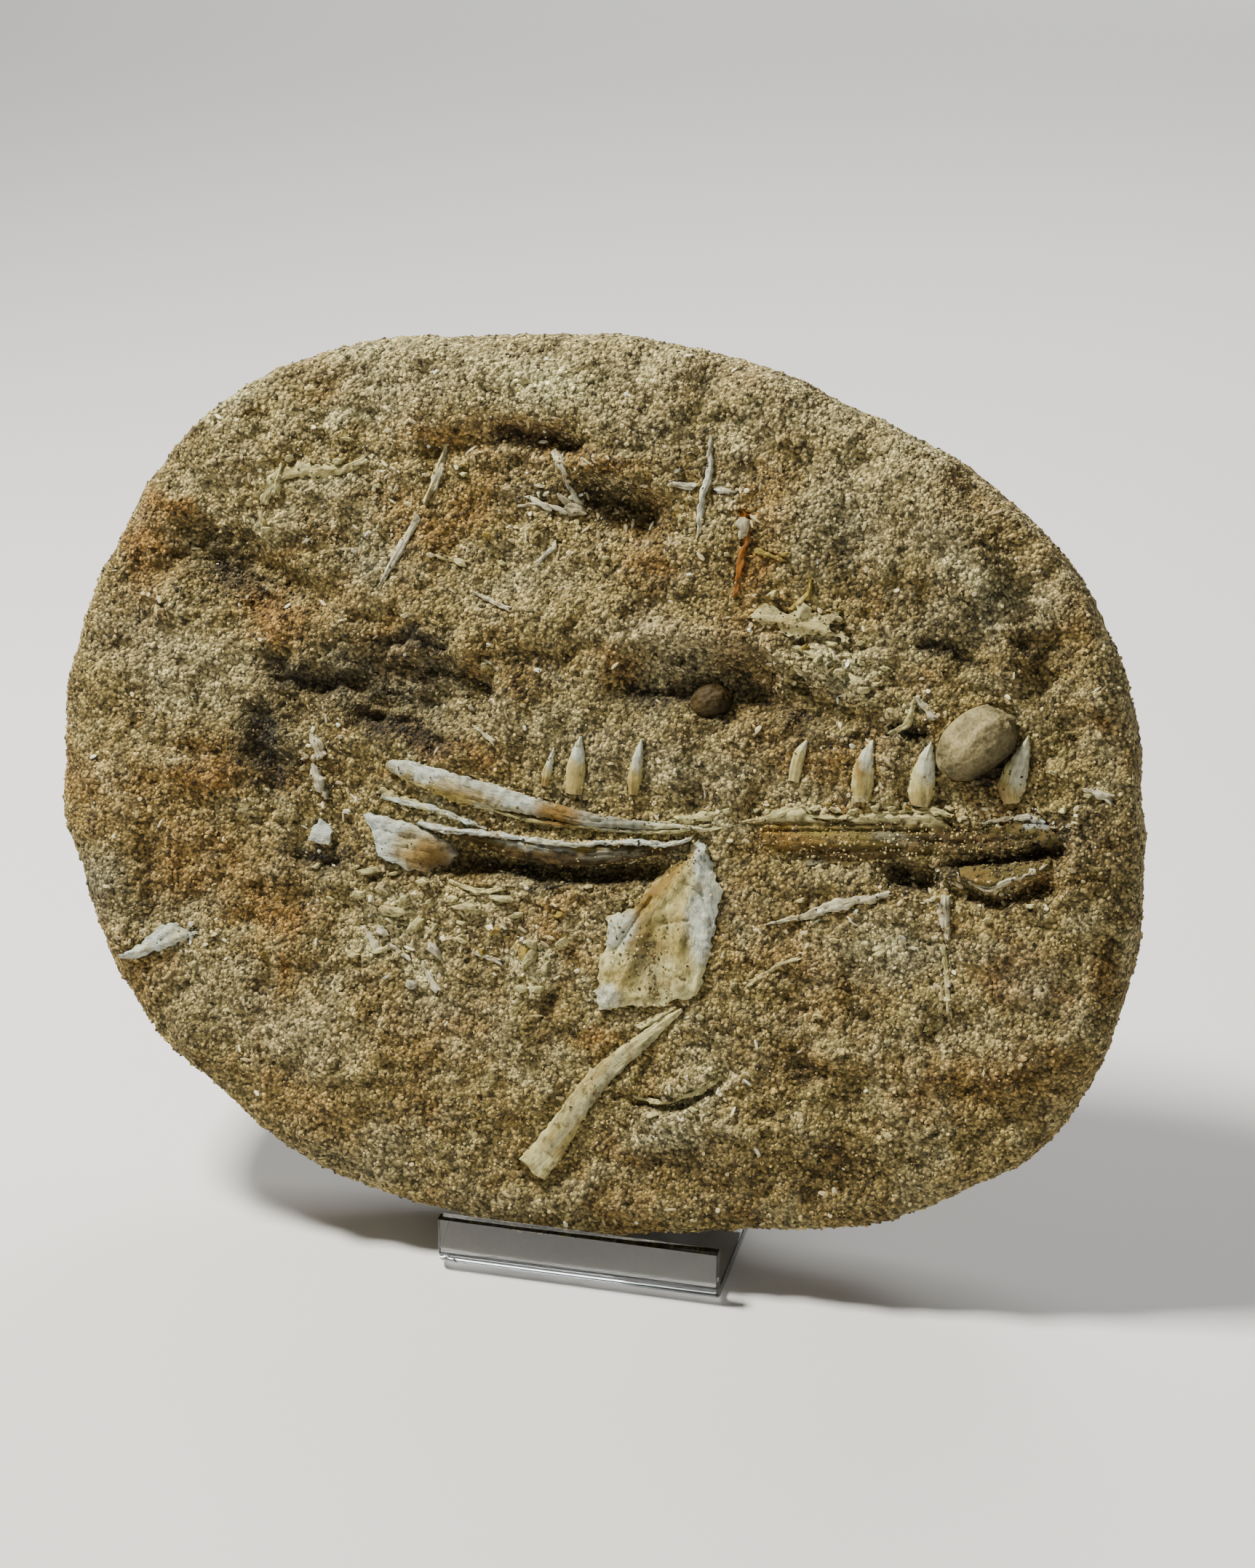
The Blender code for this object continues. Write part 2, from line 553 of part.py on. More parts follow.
def sheet_profile():
    """The stand seen from its end: both sides of one bent strip, as (y, z) in millimetres."""
    spot = Vector((LIP_FRONT + SHEET / 2, LIP_HEIGHT))
    heading = -math.pi / 2
    path = [(spot.copy(), heading)]

    def straight(length):
        nonlocal spot
        spot = spot + Vector((math.cos(heading), math.sin(heading))) * length
        path.append((spot.copy(), heading))

    def turn(angle, radius, steps):
        nonlocal spot, heading
        side = math.copysign(1, angle)
        middle = spot + Vector((-math.sin(heading), math.cos(heading))) * radius * side
        for _ in range(steps):
            heading += angle / steps
            spot = middle - Vector((-math.sin(heading), math.cos(heading))) * radius * side
            path.append((spot.copy(), heading))

    straight(LIP_HEIGHT - SHEET / 2 - BEND)
    turn(math.pi / 2, BEND, 6)
    straight(ledge_run())
    turn(math.pi / 2 - LEAN, BEND, 5)
    straight(BACK_PLATE_LENGTH)
    turn(-(math.pi - LEAN - LEG_LEAN), TOP_BEND, 9)
    front = [point + Vector((-math.sin(a), math.cos(a))) * SHEET / 2 for point, a in path]
    back = [point - Vector((-math.sin(a), math.cos(a))) * SHEET / 2 for point, a in path]
    down = Vector((math.cos(heading), math.sin(heading)))
    front.append(front[-1] - down * (front[-1].y / down.y))
    back.append(back[-1] - down * (back[-1].y / down.y))
    return front + back[::-1]


def ledge_run():
    """Straight length of the ledge, so that the back plate just clears the slab's back."""
    plane_at_floor = FACE_CENTRE.y - FACE_CENTRE.z * math.tan(LEAN)
    back_at_floor = plane_at_floor + (SLAB_THICK + GAP + SHEET / 2) / math.cos(LEAN)
    middle_height = SHEET / 2
    corner = back_at_floor + middle_height * math.tan(LEAN)
    start = LIP_FRONT + SHEET / 2 + BEND
    return corner - start - BEND * math.tan((math.pi / 2 - LEAN) / 2)


def build_stand(shape):
    """The strip's outline, pushed out to the stand's width."""
    near = STAND_MIDDLE - STAND_WIDTH / 2
    outline = [shape.verts.new((near, y, z)) for y, z in sheet_profile()]
    side = shape.faces.new(outline)
    pushed = bmesh.ops.extrude_face_region(shape, geom=[side])
    moved = [item for item in pushed["geom"] if isinstance(item, bmesh.types.BMVert)]
    bmesh.ops.translate(shape, vec=(STAND_WIDTH, 0, 0), verts=moved)


def make_stand():
    stand = mesh_object("stand", build_stand, "clear_sheet", None)
    stand.data.shade_smooth()
    stand.data.set_sharp_from_angle(angle=math.radians(35))
    return stand


def main():
    clear_scene()
    face = bpy.data.objects.new("slab_face", None)
    bpy.context.scene.collection.objects.link(face)
    face.location = FACE_CENTRE * MM
    face.rotation_euler = (math.pi / 2 - LEAN, 0, 0)

    slab = mesh_object("rock_slab", build_slab, "sandy_rock", face)
    for name, sizes in RODS.items():
        material = "rust_stained_bone" if name.startswith("rust") else "bone"
        set_in_slab(name, build_rod, build_rod_cut, sizes, material, slab, face)
    for name, sizes in PLATES.items():
        set_in_slab(name, build_plate, build_plate_cut, sizes, "bone", slab, face)
    for i, sizes in enumerate(TEETH, 1):
        set_in_slab(f"tooth_{i}", build_rod, build_rod_cut, sizes, "tooth_enamel", slab, face)
    for name, sizes in STONES.items():
        stone = mesh_object(name, stone_builder(*sizes, 0.0), "smooth_stone", face)
        stone.data.shade_smooth()
        pocket(slab, mesh_object(name + "_space", stone_builder(*sizes, GAP), "smooth_stone", face))
    make_stand()


main()
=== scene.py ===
# %% [markdown]
# # A fossil fish jaw in sandy rock, on a clear stand
# The real object is a slab of coarse, sandy phosphate rock with an oval, rounded edge. Its face looks
# scraped down until a lower jaw, its teeth and many splinters of bone lay open. It leans on a stand that
# was bent from one strip of clear acrylic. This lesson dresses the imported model: the solids already give
# every piece its place and its size, so each cell adds what a plain solid can't show, such as sand, cracks
# and stains.

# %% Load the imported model
import math

import bmesh
import bpy
import numpy as np
from mathutils import Matrix, Vector, noise
from mathutils.geometry import delaunay_2d_cdt


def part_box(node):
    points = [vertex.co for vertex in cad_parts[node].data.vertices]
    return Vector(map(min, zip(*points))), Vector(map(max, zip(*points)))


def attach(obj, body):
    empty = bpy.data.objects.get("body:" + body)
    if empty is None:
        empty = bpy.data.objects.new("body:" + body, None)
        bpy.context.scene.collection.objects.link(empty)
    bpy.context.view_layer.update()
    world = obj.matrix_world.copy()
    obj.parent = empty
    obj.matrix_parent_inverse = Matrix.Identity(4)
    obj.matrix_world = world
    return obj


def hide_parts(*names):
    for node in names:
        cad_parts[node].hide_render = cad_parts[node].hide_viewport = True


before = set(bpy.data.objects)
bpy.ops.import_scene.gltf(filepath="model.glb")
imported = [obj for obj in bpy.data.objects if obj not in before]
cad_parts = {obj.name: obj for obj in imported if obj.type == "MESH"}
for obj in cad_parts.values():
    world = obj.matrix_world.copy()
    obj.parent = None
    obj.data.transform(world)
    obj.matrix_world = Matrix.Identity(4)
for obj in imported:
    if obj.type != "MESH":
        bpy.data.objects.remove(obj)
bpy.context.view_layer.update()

# %% [markdown]
# ## The camera and the light
# The photograph looks down at the slab a little from its right. A long lens keeps the oval from being
# stretched. The light is a soft lamp high on the left, which rakes over the face as in the photograph, so
# that hollows fall into shade, and a large weak lamp on the right, which keeps them readable.

# %% Camera
CAMERA_PLACE = Vector((0.16697, -0.64382, 0.38101))
CAMERA_LOOKS = Vector((-0.22269, 0.89316, -0.39073))

camera_data = bpy.data.cameras.new("camera")
camera_data.lens = 72.47
camera_data.sensor_width = 36
camera = bpy.data.objects.new("camera", camera_data)
bpy.context.scene.collection.objects.link(camera)
to_right = CAMERA_LOOKS.cross(Vector((0, 0, 1))).normalized()
to_top = to_right.cross(CAMERA_LOOKS).normalized()
turned = Matrix((to_right, to_top, -CAMERA_LOOKS.normalized())).transposed().to_4x4()
camera.matrix_world = Matrix.Translation(CAMERA_PLACE) @ turned
bpy.context.scene.camera = camera
print("camera distance:", round((CAMERA_PLACE - Vector((0, 0, 0.1))).length, 3))


# %% Lamps and floor
def lamp(name, place, target, size, power, colour):
    data = bpy.data.lights.new(name, "AREA")
    data.size = size
    data.energy = power
    data.color = colour
    made = bpy.data.objects.new(name, data)
    bpy.context.scene.collection.objects.link(made)
    made.location = place
    made.rotation_euler = (Vector(target) - Vector(place)).to_track_quat("-Z", "Y").to_euler()
    return made


lamp("key_lamp", (-0.48, -0.09, 0.98), (0, 0, 0.11), 0.20, 30, (1.0, 0.975, 0.91))
lamp("fill_lamp", (0.5, -0.95, 0.45), (0, 0, 0.10), 0.9, 2.2, (0.97, 0.98, 1.0))
lamp("back_lamp", (0.1, 0.9, 0.9), (0, 0, 0.10), 0.8, 9, (1.0, 1.0, 1.0))

lamp("floor_lamp", (0, 2.6, 1.7), (0, 3.4, 0), 2.4, 70, (1.0, 1.0, 1.0))

world = bpy.data.worlds.new("room")
bpy.context.scene.world = world
world.use_nodes = True
world.node_tree.nodes["Background"].inputs["Color"].default_value = (0.96, 0.97, 1.0, 1)
world.node_tree.nodes["Background"].inputs["Strength"].default_value = 0.095

floor_mesh = bpy.data.meshes.new("floor")
reach = 12.0
floor_mesh.from_pydata([(-reach, -reach, 0), (reach, -reach, 0), (reach, reach, 0), (-reach, reach, 0)],
                       [], [(0, 1, 2, 3)])
floor = bpy.data.objects.new("floor", floor_mesh)
bpy.context.scene.collection.objects.link(floor)
floor_paint = bpy.data.materials.new("floor_paint")
floor_paint.use_nodes = True
floor_shader = floor_paint.node_tree.nodes["Principled BSDF"]
floor_shader.inputs["Base Color"].default_value = (0.70, 0.69, 0.67, 1)
floor_shader.inputs["Roughness"].default_value = 0.6
floor_mesh.materials.append(floor_paint)

# %% [markdown]
# ## Where things lie on the slab
# The slab leans back by 20 degrees, so its own millimetres are easier to think in: u runs to the right,
# v runs up the face and w stands out of it. One function turns them into the scene's metres.

# %% From slab millimetres to the scene
LEAN = math.radians(20)
FACE_CENTRE = np.array((6.33, -19.86, 107.35))
AXES = np.array(((1, 0, 0), (0, math.sin(LEAN), math.cos(LEAN)), (0, -math.cos(LEAN), math.sin(LEAN))))


def in_scene(points):
    """Points in slab millimetres as points in the scene's metres."""
    return (FACE_CENTRE + np.asarray(points, float) @ AXES) * 0.001


print("middle of the face:", in_scene([(0, 0, 0)])[0].round(4))

# %% [markdown]
# ## The forms of the rock
# The rock's face is a plain with hollows, swells and narrow grooves. They have the same names and sizes as in
# the solid, because the bones follow them too.

# %% Outline, hollows and swells
SLAB_THICK = 34.0
OUTLINE = (
    (-56, 97.7), (-29, 99.2), (0, 100.4), (27, 95.4), (49.5, 87.8), (72, 77.8), (89.5, 65.2),
    (104, 48.7), (113, 30.2), (118, 6.3), (120, -18), (117, -41), (106.5, -65.8), (91, -80.6),
    (67.5, -93), (41.5, -96.8), (14, -101.4), (-16, -103), (-43.5, -99.8), (-65.5, -93.4),
    (-83, -82), (-103.5, -68.6), (-114.5, -54), (-122.5, -38.5), (-130, -20.5), (-132.3, -2),
    (-132.3, 14.7), (-127, 34.2), (-116.5, 58), (-106, 73.6), (-96, 82), (-80, 91.3),
)
OVALS = {
    "hollow_left": ((-48, 17), (19, 9), -6, -6.2),
    "hollow_left_upper": ((-60, 29.5), (11, 5.5), 12, -3.2),
    "hollow_upper_left": ((-94, 43), (14, 8), -38, -5.0),
    "hollow_upper_middle": ((-3, 60.5), (11, 7), -12, -5.4),
    "hollow_middle": ((23, 25), (20, 7), -4, -5.2),
    "hollow_by_teeth": ((55, 18), (12, 4.5), -16, -2.6),
    "pit_under_jaw": ((69, -14), (6, 3), -14, -4.2),
    "pit_by_plate": ((-28, -17.5), (6, 3.6), -10, -2.6),
    "low_left": ((-76, -26), (22, 15), 20, -2.0),
    "jaw_trough": ((15, -4), (92, 13), 3, -1.2),
    "swell_top": ((-20, 82), (46, 12), 4, 2.0),
    "swell_upper_right": ((72, 58), (20, 14), -38, 2.2),
    "swell_right": ((100, -30), (16, 26), 10, 1.8),
    "swell_lower_left": ((-58, -62), (38, 20), -18, 2.2),
    "swell_lower_right": ((56, -62), (44, 18), 10, 1.6),
    "swell_left": ((-112, 0), (14, 34), 4, 1.6),
    "swell_middle_left": ((-22, 33), (20, 8), 8, 1.6),
}
TRAILS = {
    "undercut_of_blade": (((-36, -21.5), (-22, -20.2), (-4, -20.2), (12, -17.8)), 2.6, -4.8),
    "slit_of_jaw": (((77, -10), (89, -7.6), (101, -5)), 1.5, -2.0),
    "undercut_of_shelf": (((80, -15.4), (88, -16.8), (98, -12.6)), 2.2, -3.0),
    "groove_of_right_margin": (((74, 74), (86, 56), (94, 38), (101, 22)), 5.0, -3.8),
    "ridge_beside_groove": (((64, 67), (74, 60), (84, 44), (88, 32)), 4.0, 1.8),
    "crack_by_spine": (((9, -68.5), (17, -70.4), (25, -68), (32, -62)), 1.7, -2.2),
    "overhang_of_top": (((-46, 70), (-30, 75.4), (-14, 73.6)), 2.6, -2.4),
    "scar_upper_left": (((-108, 64), (-94, 54), (-80, 40), (-70, 34)), 4.4, -2.8),
    "brow_of_left_hollow": (((-72, 31), (-54, 27), (-34, 27)), 3.4, 2.0),
    "brow_of_middle_hollow": (((2, 34), (24, 35), (46, 30)), 3.2, 1.8),
    "brow_of_upper_hollow": (((-14, 70), (-2, 70), (8, 67)), 3.0, 1.6),
    "arc_inner": (((46, -34), (68, -40), (92, -38), (104, -26)), 3.4, 1.2),
    "arc_outer": (((38, -50), (66, -56), (96, -54), (112, -38)), 3.8, 1.4),
}
print("hollows and swells:", len(OVALS), "grooves and ridges:", len(TRAILS))

# %% Height of the face


def lumps(u, v, size, layer):
    """Soft bumps of about one size, from about -0.5 to 0.5, at any number of points."""
    return np.array([noise.noise((a, b, layer)) for a, b in zip(u / size, v / size)])


def in_oval(u, v, middle, half, turn, steep=1.8):
    """1 in the middle of an oval, 0 well outside it."""
    angle = math.radians(turn)
    du, dv = u - middle[0], v - middle[1]
    along = (du * math.cos(angle) + dv * math.sin(angle)) / half[0]
    across = (dv * math.cos(angle) - du * math.sin(angle)) / half[1]
    return np.exp(-((along ** 2 + across ** 2) ** steep))


def beyond_run(u, v, points, halves):
    """Distance to a run of points, less its half width there: negative on the run."""
    nearest = np.full(u.shape, np.inf)
    for (au, av), (bu, bv), ha, hb in zip(points, points[1:], halves, halves[1:]):
        du, dv = bu - au, bv - av
        share = np.clip(((u - au) * du + (v - av) * dv) / (du * du + dv * dv), 0, 1)
        away = np.hypot(u - au - share * du, v - av - share * dv)
        nearest = np.minimum(nearest, away - (ha + (hb - ha) * share))
    return nearest


def broad_height(u, v):
    """Height of the face's main forms above its mean plane. The bones follow it."""
    u, v = np.asarray(u, float), np.asarray(v, float)
    height = 1.7 * lumps(u, v, 26, 0.0)
    for middle, half, turn, rise in OVALS.values():
        height += rise * in_oval(u, v, middle, half, turn)
    for points, half, rise in TRAILS.values():
        away = beyond_run(u, v, points, [0] * len(points))
        height += rise * np.exp(-((away / half) ** 2))
    return height


sample = np.array((-48.0, 0.0, 40.0))
print("heights of three places on the face:", broad_height(sample, sample * 0).round(2))

# %% [markdown]
# ## The bones' places
# The runs, outlines and sizes of the bones are the solids' own. The rock needs them before the bones are
# made, because its small lumps die away around a bone and the rock passes just under it.

# %% Bones, teeth and stones in slab millimetres
# A run: middle line, half width at each point, rise above the rock
RODS = {
    "jaw_front": (
        ((-50.6, -0.3), (-46.5, -1.0), (-40, -2.6), (-33, -4.2), (-24, -5.5), (-15.5, -6.7),
         (-4.5, -8.1), (5, -8.2), (11, -8.1), (17, -7.6), (23, -7.6)),
        (1.1, 2.3, 2.8, 3.2, 2.6, 1.9, 1.6, 1.1, 0.9, 0.5, 0.3), 2.6),
    "jaw_splint": (
        ((-52.5, -6.3), (-46, -8.3), (-39.5, -9.3), (-31.5, -11.3)), (0.9, 1.0, 0.9, 0.4), 0.9),
    "jaw_blade": (
        ((-35, -13.5), (-30.5, -14.7), (-25, -15.6), (-17, -16.2), (-8, -16.5), (0, -15.6),
         (8.5, -14), (15, -12.6), (19.4, -10.9)),
        (0.7, 1.3, 2.0, 2.3, 2.4, 2.3, 1.7, 1.0, 0.4), 2.4),
    "spine_bone": (
        ((-9.6, -87.3), (-5.7, -81.8), (-1.5, -74.5), (2.8, -67.1), (7.6, -61.5), (12.8, -56.4),
         (17.7, -51.4), (21.6, -48.0)),
        (3.8, 3.4, 2.9, 2.5, 2.2, 1.8, 1.2, 0.5), 2.0),
    "left_chip_upper": (((-69, 4.6), (-66.5, 0.4)), (0.9, 1.3), 1.6),
    "left_chip_middle": (((-68.2, -2.2), (-67, -6), (-64.6, -9.8)), (0.9, 1.6, 1.0), 1.8),
    "curved_crest": (
        ((-84.5, 55.8), (-82, 62), (-76, 64), (-68, 64.8), (-61.2, 67.8)),
        (0.9, 1.3, 1.5, 1.2, 0.6), 1.0),
    "fin_ray_long": (((-48, 55.6), (-52, 47.6), (-55.6, 39.9)), (0.9, 0.9, 0.4), 0.9),
    "fin_ray_short": (((-43.2, 72.2), (-43.9, 65), (-46.6, 59.4)), (0.4, 0.9, 0.5), 0.9),
    "starburst_ray_left": (((-23.5, 62.2), (-17.2, 59.8)), (0.4, 0.9), 0.8),
    "starburst_ray_upper": (((-18.2, 72.6), (-14, 67)), (0.9, 0.6), 0.8),
    "starburst_ray_lower": (((-15.4, 52.6), (-19.7, 47.5)), (0.8, 0.4), 0.8),
    "cross_upright": (
        ((17.4, 77.6), (17.5, 69.4), (16.4, 64.6), (16.4, 56.4)), (0.5, 0.9, 0.8, 0.5), 1.0),
    "cross_arm_left": (((9.3, 67.3), (14.6, 66.9)), (0.6, 0.8), 0.8),
    "cross_arm_right": (((19.6, 66.7), (24.4, 66.8)), (0.8, 0.4), 0.8),
    "rust_bone": (((26, 61.8), (27, 57.7), (26.3, 51.8), (25.4, 43.6)), (1.3, 0.9, 0.8, 0.5), 1.1),
    "rust_bone_branch": (((29.6, 54.3), (35.8, 52.6)), (0.7, 0.4), 0.7),
    "splinter_upper_a": (((-33.6, 39.8), (-25, 36.9)), (0.4, 0.6), 0.8),
    "splinter_upper_b": (((-42.8, 47.5), (-36, 46.2)), (0.6, 0.7), 0.8),
    "splinter_by_tooth": (((-31.6, 10.4), (-26.4, 7)), (0.4, 0.6), 0.8),
    "splinter_by_pebble": (((67.2, 25.6), (71.8, 21.2)), (0.7, 1.0), 0.9),
    "splinter_lower_a": (((-53.8, -37), (-49.6, -42.6)), (0.7, 1.0), 0.8),
    "splinter_lower_b": (((-47.2, -40.6), (-41.8, -43.6)), (0.5, 0.5), 0.7),
    "splinter_lower_c": (((-39.2, -43.8), (-34.4, -50.2)), (0.6, 1.0), 0.8),
    "splinter_lower_d": (((-26.8, -40.3), (-20.6, -41.8)), (0.5, 0.5), 0.7),
    "splinter_right": (
        ((39, -27), (46.3, -24.8), (53.5, -21.6), (61, -19.2), (64.8, -17.6)),
        (0.3, 0.8, 1.2, 1.0, 0.5), 1.4),
    "chip_right": (((76.4, -18.6), (77.8, -22.6)), (1.1, 0.8), 1.2),
    "thin_ray_right": (((77.8, -27.4), (79.4, -35), (80.8, -42.8)), (0.5, 0.6, 0.4), 0.6),
    "chip_at_edge": (((105.6, 8.8), (110.6, 7.4)), (0.7, 1.0), 1.0),
}

# A plate: outline, height of its edge and of its middle above the rock
PLATES = {
    "jaw_plate": (
        ((-55.3, -12), (-50.5, -11.9), (-45.4, -12.7), (-41.4, -13.6), (-37.7, -15.1), (-34.2, -17),
         (-33.7, -19), (-35.4, -21.3), (-39.4, -23.2), (-43.4, -23.1), (-47.4, -22.1),
         (-51.2, -21.2), (-52.6, -16.4)), 1.0, 2.0),
    "jaw_rear": (
        ((34, -5.4), (38.5, -3.4), (41.5, -1.8), (44.6, -0.8), (47, -2.8), (51, -3.6), (54.5, -2.8),
         (58, -1.2), (63, -0.6), (68, 0), (73, 0.4), (76, -1), (80, -2), (86, -1.2), (91, 0.4),
         (97, 0.8), (101, -1.2), (99.5, -3.2), (89.5, -5.6), (78, -7.9), (68, -9.7), (56, -12.1),
         (46, -13.3), (38.5, -11.4), (34, -8.2)), 0.5, 1.0),
    "shelf_bone": (
        ((79.6, -10.6), (86, -9.6), (93, -8.3), (99.4, -7), (99, -8.8), (95.8, -10.2),
         (90.5, -12), (86.7, -14), (83.4, -13.4), (80.5, -12.4)), 1.0, 1.4),
    "fan_bone": (
        ((21.4, -9.9), (24.4, -11.2), (25, -14.2), (26.4, -18.6), (28.4, -21), (27.7, -27),
         (27.3, -33.8), (25.5, -40.4), (25.2, -43.6), (22, -45.2), (16, -48), (8, -49.2),
         (2.8, -49.5), (1.2, -46), (2.4, -39), (3.4, -35), (3.1, -29.2), (9.8, -26), (12.6, -19.8),
         (19.4, -14.8)), 0.7, 1.5),
    "leaf_fragment": (
        ((-112, -50.4), (-105.5, -50.2), (-98, -46.1), (-92.4, -43), (-96.3, -42.2),
         (-98.6, -40.4), (-103.3, -43.8), (-107.2, -47.6)), 0.6, 1.2),
    "left_chip_lower": (
        ((-66, -14), (-62.6, -16.8), (-63.6, -19.8), (-67.8, -19.2), (-68.3, -16.2)), 0.9, 1.5),
    "branching_bone": (
        ((28.6, 40), (33, 42.2), (38, 41.6), (41, 44.4), (43, 42), (50.4, 41.6), (46.4, 39.2),
         (51.8, 36.2), (44, 37.2), (38, 35.8), (36, 38.4), (31, 38.6)), 0.5, 0.9),
}

# Teeth from left to right: middle line from root to tip, half widths, rise above the rock
TEETH = (
    (((-14.3, -1.7), (-13.8, 2), (-12.5, 7.2)), (0.9, 1.1, 0.15), 1.3),
    (((-7.4, -2.8), (-7.3, 2.5), (-7.0, 7), (-6.5, 10.1)), (1.9, 2.3, 1.4, 0.2), 1.9),
    (((6.4, -1.6), (6.5, 2), (6.8, 6.6), (7.5, 10.9)), (1.0, 1.7, 1.2, 0.2), 1.7),
    (((41.8, 4.6), (42.1, 7.6), (42.8, 11), (44.1, 13.8)), (1.2, 1.4, 1.4, 0.3), 1.0),
    (((57.3, 1.7), (57.2, 5), (57.3, 9), (57.8, 12.4), (58.5, 15.3)),
     (1.6, 2.6, 2.3, 1.4, 0.2), 2.0),
    (((70, 1.9), (70.1, 5), (70.3, 8.6), (70.8, 12.6), (71.6, 16.2)),
     (1.9, 3.0, 2.7, 1.8, 0.2), 2.2),
    (((90, 4.6), (89.6, 7.4), (90.2, 11.4), (91.4, 15.6), (92.3, 19.4)),
     (1.7, 3.0, 2.8, 1.5, 0.2), 2.2),
)

# Rounded stones in the face: middle, half sizes along, across and out of the face, turn, height
STONES = {
    "pebble": ((81.6, 16.9), (10.2, 7.0, 5.6), 43, 1.4),
    "small_nodule": ((21.7, 20.4), (5.0, 3.9, 3.2), 28, 0.8),
}
print("runs:", len(RODS), "plates:", len(PLATES), "teeth:", len(TEETH), "stones:", len(STONES))

# %% [markdown]
# ## The slab
# On the real object this is one piece of sandy phosphate rock, rounded at its edge. A plane with a
# displacement modifier could make the face, but its points would be spread evenly in a square and the rounded
# edge would need a second piece. Here the face is one net of triangles over the outline, closed by rings that
# roll over the edge to the back, so the whole stone is a single closed skin, and every point knows its place.

# %% Distances to the bones


def beyond_outline(u, v, outline):
    """Distance to a closed outline: negative inside it."""
    away = beyond_run(u, v, (*outline, outline[0]), [0] * (len(outline) + 1))
    odd = np.zeros(u.shape, bool)
    for (au, av), (bu, bv) in zip(outline, outline[1:] + outline[:1]):
        if av != bv:
            odd ^= ((av > v) != (bv > v)) & (u < au + (v - av) * (bu - au) / (bv - av))
    return np.where(odd, -away, away)


def beyond_stone(u, v, middle, half, turn):
    """Roughly the distance to a rounded stone: negative over it."""
    angle = math.radians(turn)
    du, dv = u - middle[0], v - middle[1]
    along = (du * math.cos(angle) + dv * math.sin(angle)) / half[0]
    across = (dv * math.cos(angle) - du * math.sin(angle)) / half[1]
    return (np.hypot(along, across) - 1) * half[1]


def clear_of_bones(u, v):
    """Distance to the nearest bone, tooth or stone: negative over one."""
    nearest = np.full(u.shape, 60.0)
    for points, halves, _ in (*RODS.values(), *TEETH):
        nearest = np.minimum(nearest, beyond_run(u, v, points, halves))
    for outline, _, _ in PLATES.values():
        nearest = np.minimum(nearest, beyond_outline(u, v, outline))
    for middle, half, turn, _ in STONES.values():
        nearest = np.minimum(nearest, beyond_stone(u, v, middle, half, turn))
    return nearest


# %% The net of points
FACE_GRAIN = 0.86
EDGE = np.array(((6.5, 0), (2.9, 1.4), (0.8, 4.0), (0.0, 9.0), (0.5, 18.0), (1.4, 26.0), (4.0, 32.0),
                 (9.0, 34.0)))
RIM_COUNT = 560
EDGE_COUNT = 28
SHRINK = 1.0
chance = np.random.default_rng(7)


def smooth_through(points, closed, count):
    """Evenly spaced points on a smooth curve through the given ones."""
    points = np.asarray(points, float)
    before, after = np.roll(points, 1, 0), np.roll(points, -1, 0)
    beyond = np.roll(points, -2, 0)
    if not closed:
        before[0], after[-1], beyond[-1], beyond[-2] = points[0], points[-1], points[-1], points[-1]
    t = np.linspace(0, 1, 24, endpoint=False)[None, :, None]
    a, b, c, d = (item[:, None, :] for item in (before, points, after, beyond))
    fine = 0.5 * (2 * b + (c - a) * t + (2 * a - 5 * b + 4 * c - d) * t ** 2
                  + (3 * b - a - 3 * c + d) * t ** 3)
    fine = fine.reshape(-1, points.shape[1]) if closed else fine[:-1].reshape(-1, points.shape[1])
    fine = np.vstack((fine, fine[:1] if closed else points[-1:]))
    run = np.concatenate(([0], np.cumsum(np.linalg.norm(np.diff(fine, axis=0), axis=1))))
    wanted = np.linspace(0, run[-1], count, endpoint=not closed)
    return np.stack([np.interp(wanted, run, fine[:, axis]) for axis in range(points.shape[1])], 1)


def lattice(low, high, step):
    """Shaken staggered points over a rectangle."""
    rows = np.arange(low[1], high[1], step * math.sqrt(0.75))
    columns = np.arange(low[0], high[0], step)
    u, v = np.meshgrid(columns, rows)
    u[1::2] += step / 2
    spots = np.stack((u.ravel(), v.ravel()), 1)
    return spots + chance.uniform(-0.24, 0.24, spots.shape) * step


def within(loop, step, keep_off):
    """The lattice points inside a loop that goes once round the middle."""
    spots = lattice(loop.min(0), loop.max(0), step)
    turn = np.arctan2(loop[:, 1], loop[:, 0])
    order = np.argsort(turn)
    limit = np.interp(np.arctan2(spots[:, 1], spots[:, 0]), turn[order],
                      np.hypot(*loop[order].T), period=2 * math.pi)
    return spots[np.hypot(*spots.T) < limit - keep_off]


def filled(loop, inner):
    """Triangles over a closed loop with inner points. The loop keeps its place at the front."""
    points = np.vstack((loop, inner))
    made = delaunay_2d_cdt([Vector(p) for p in points], [], [list(range(len(loop)))], 1, 1e-4)
    first = np.array([olds[0] for olds in made[3]])
    return points, first[np.array(made[2])]


rim = smooth_through(OUTLINE, True, RIM_COUNT)
along_rim = np.roll(rim, -1, 0) - np.roll(rim, 1, 0)
out_of_rim = np.stack((-along_rim[:, 1], along_rim[:, 0]), 1)
out_of_rim /= np.linalg.norm(out_of_rim, axis=1)[:, None]
rim = rim - out_of_rim * SHRINK
rolled = smooth_through(EDGE, False, EDGE_COUNT)
face_loop = rim - out_of_rim * rolled[0, 0]
face_points, face_faces = filled(face_loop, within(face_loop, FACE_GRAIN, 0.6 * FACE_GRAIN))
back_loop = rim - out_of_rim * rolled[-1, 0]
back_points, back_faces = filled(back_loop, within(back_loop, 2.4, 1.4))
print("points of the face:", len(face_points), "of the back:", len(back_points))

# %% The skin of the stone


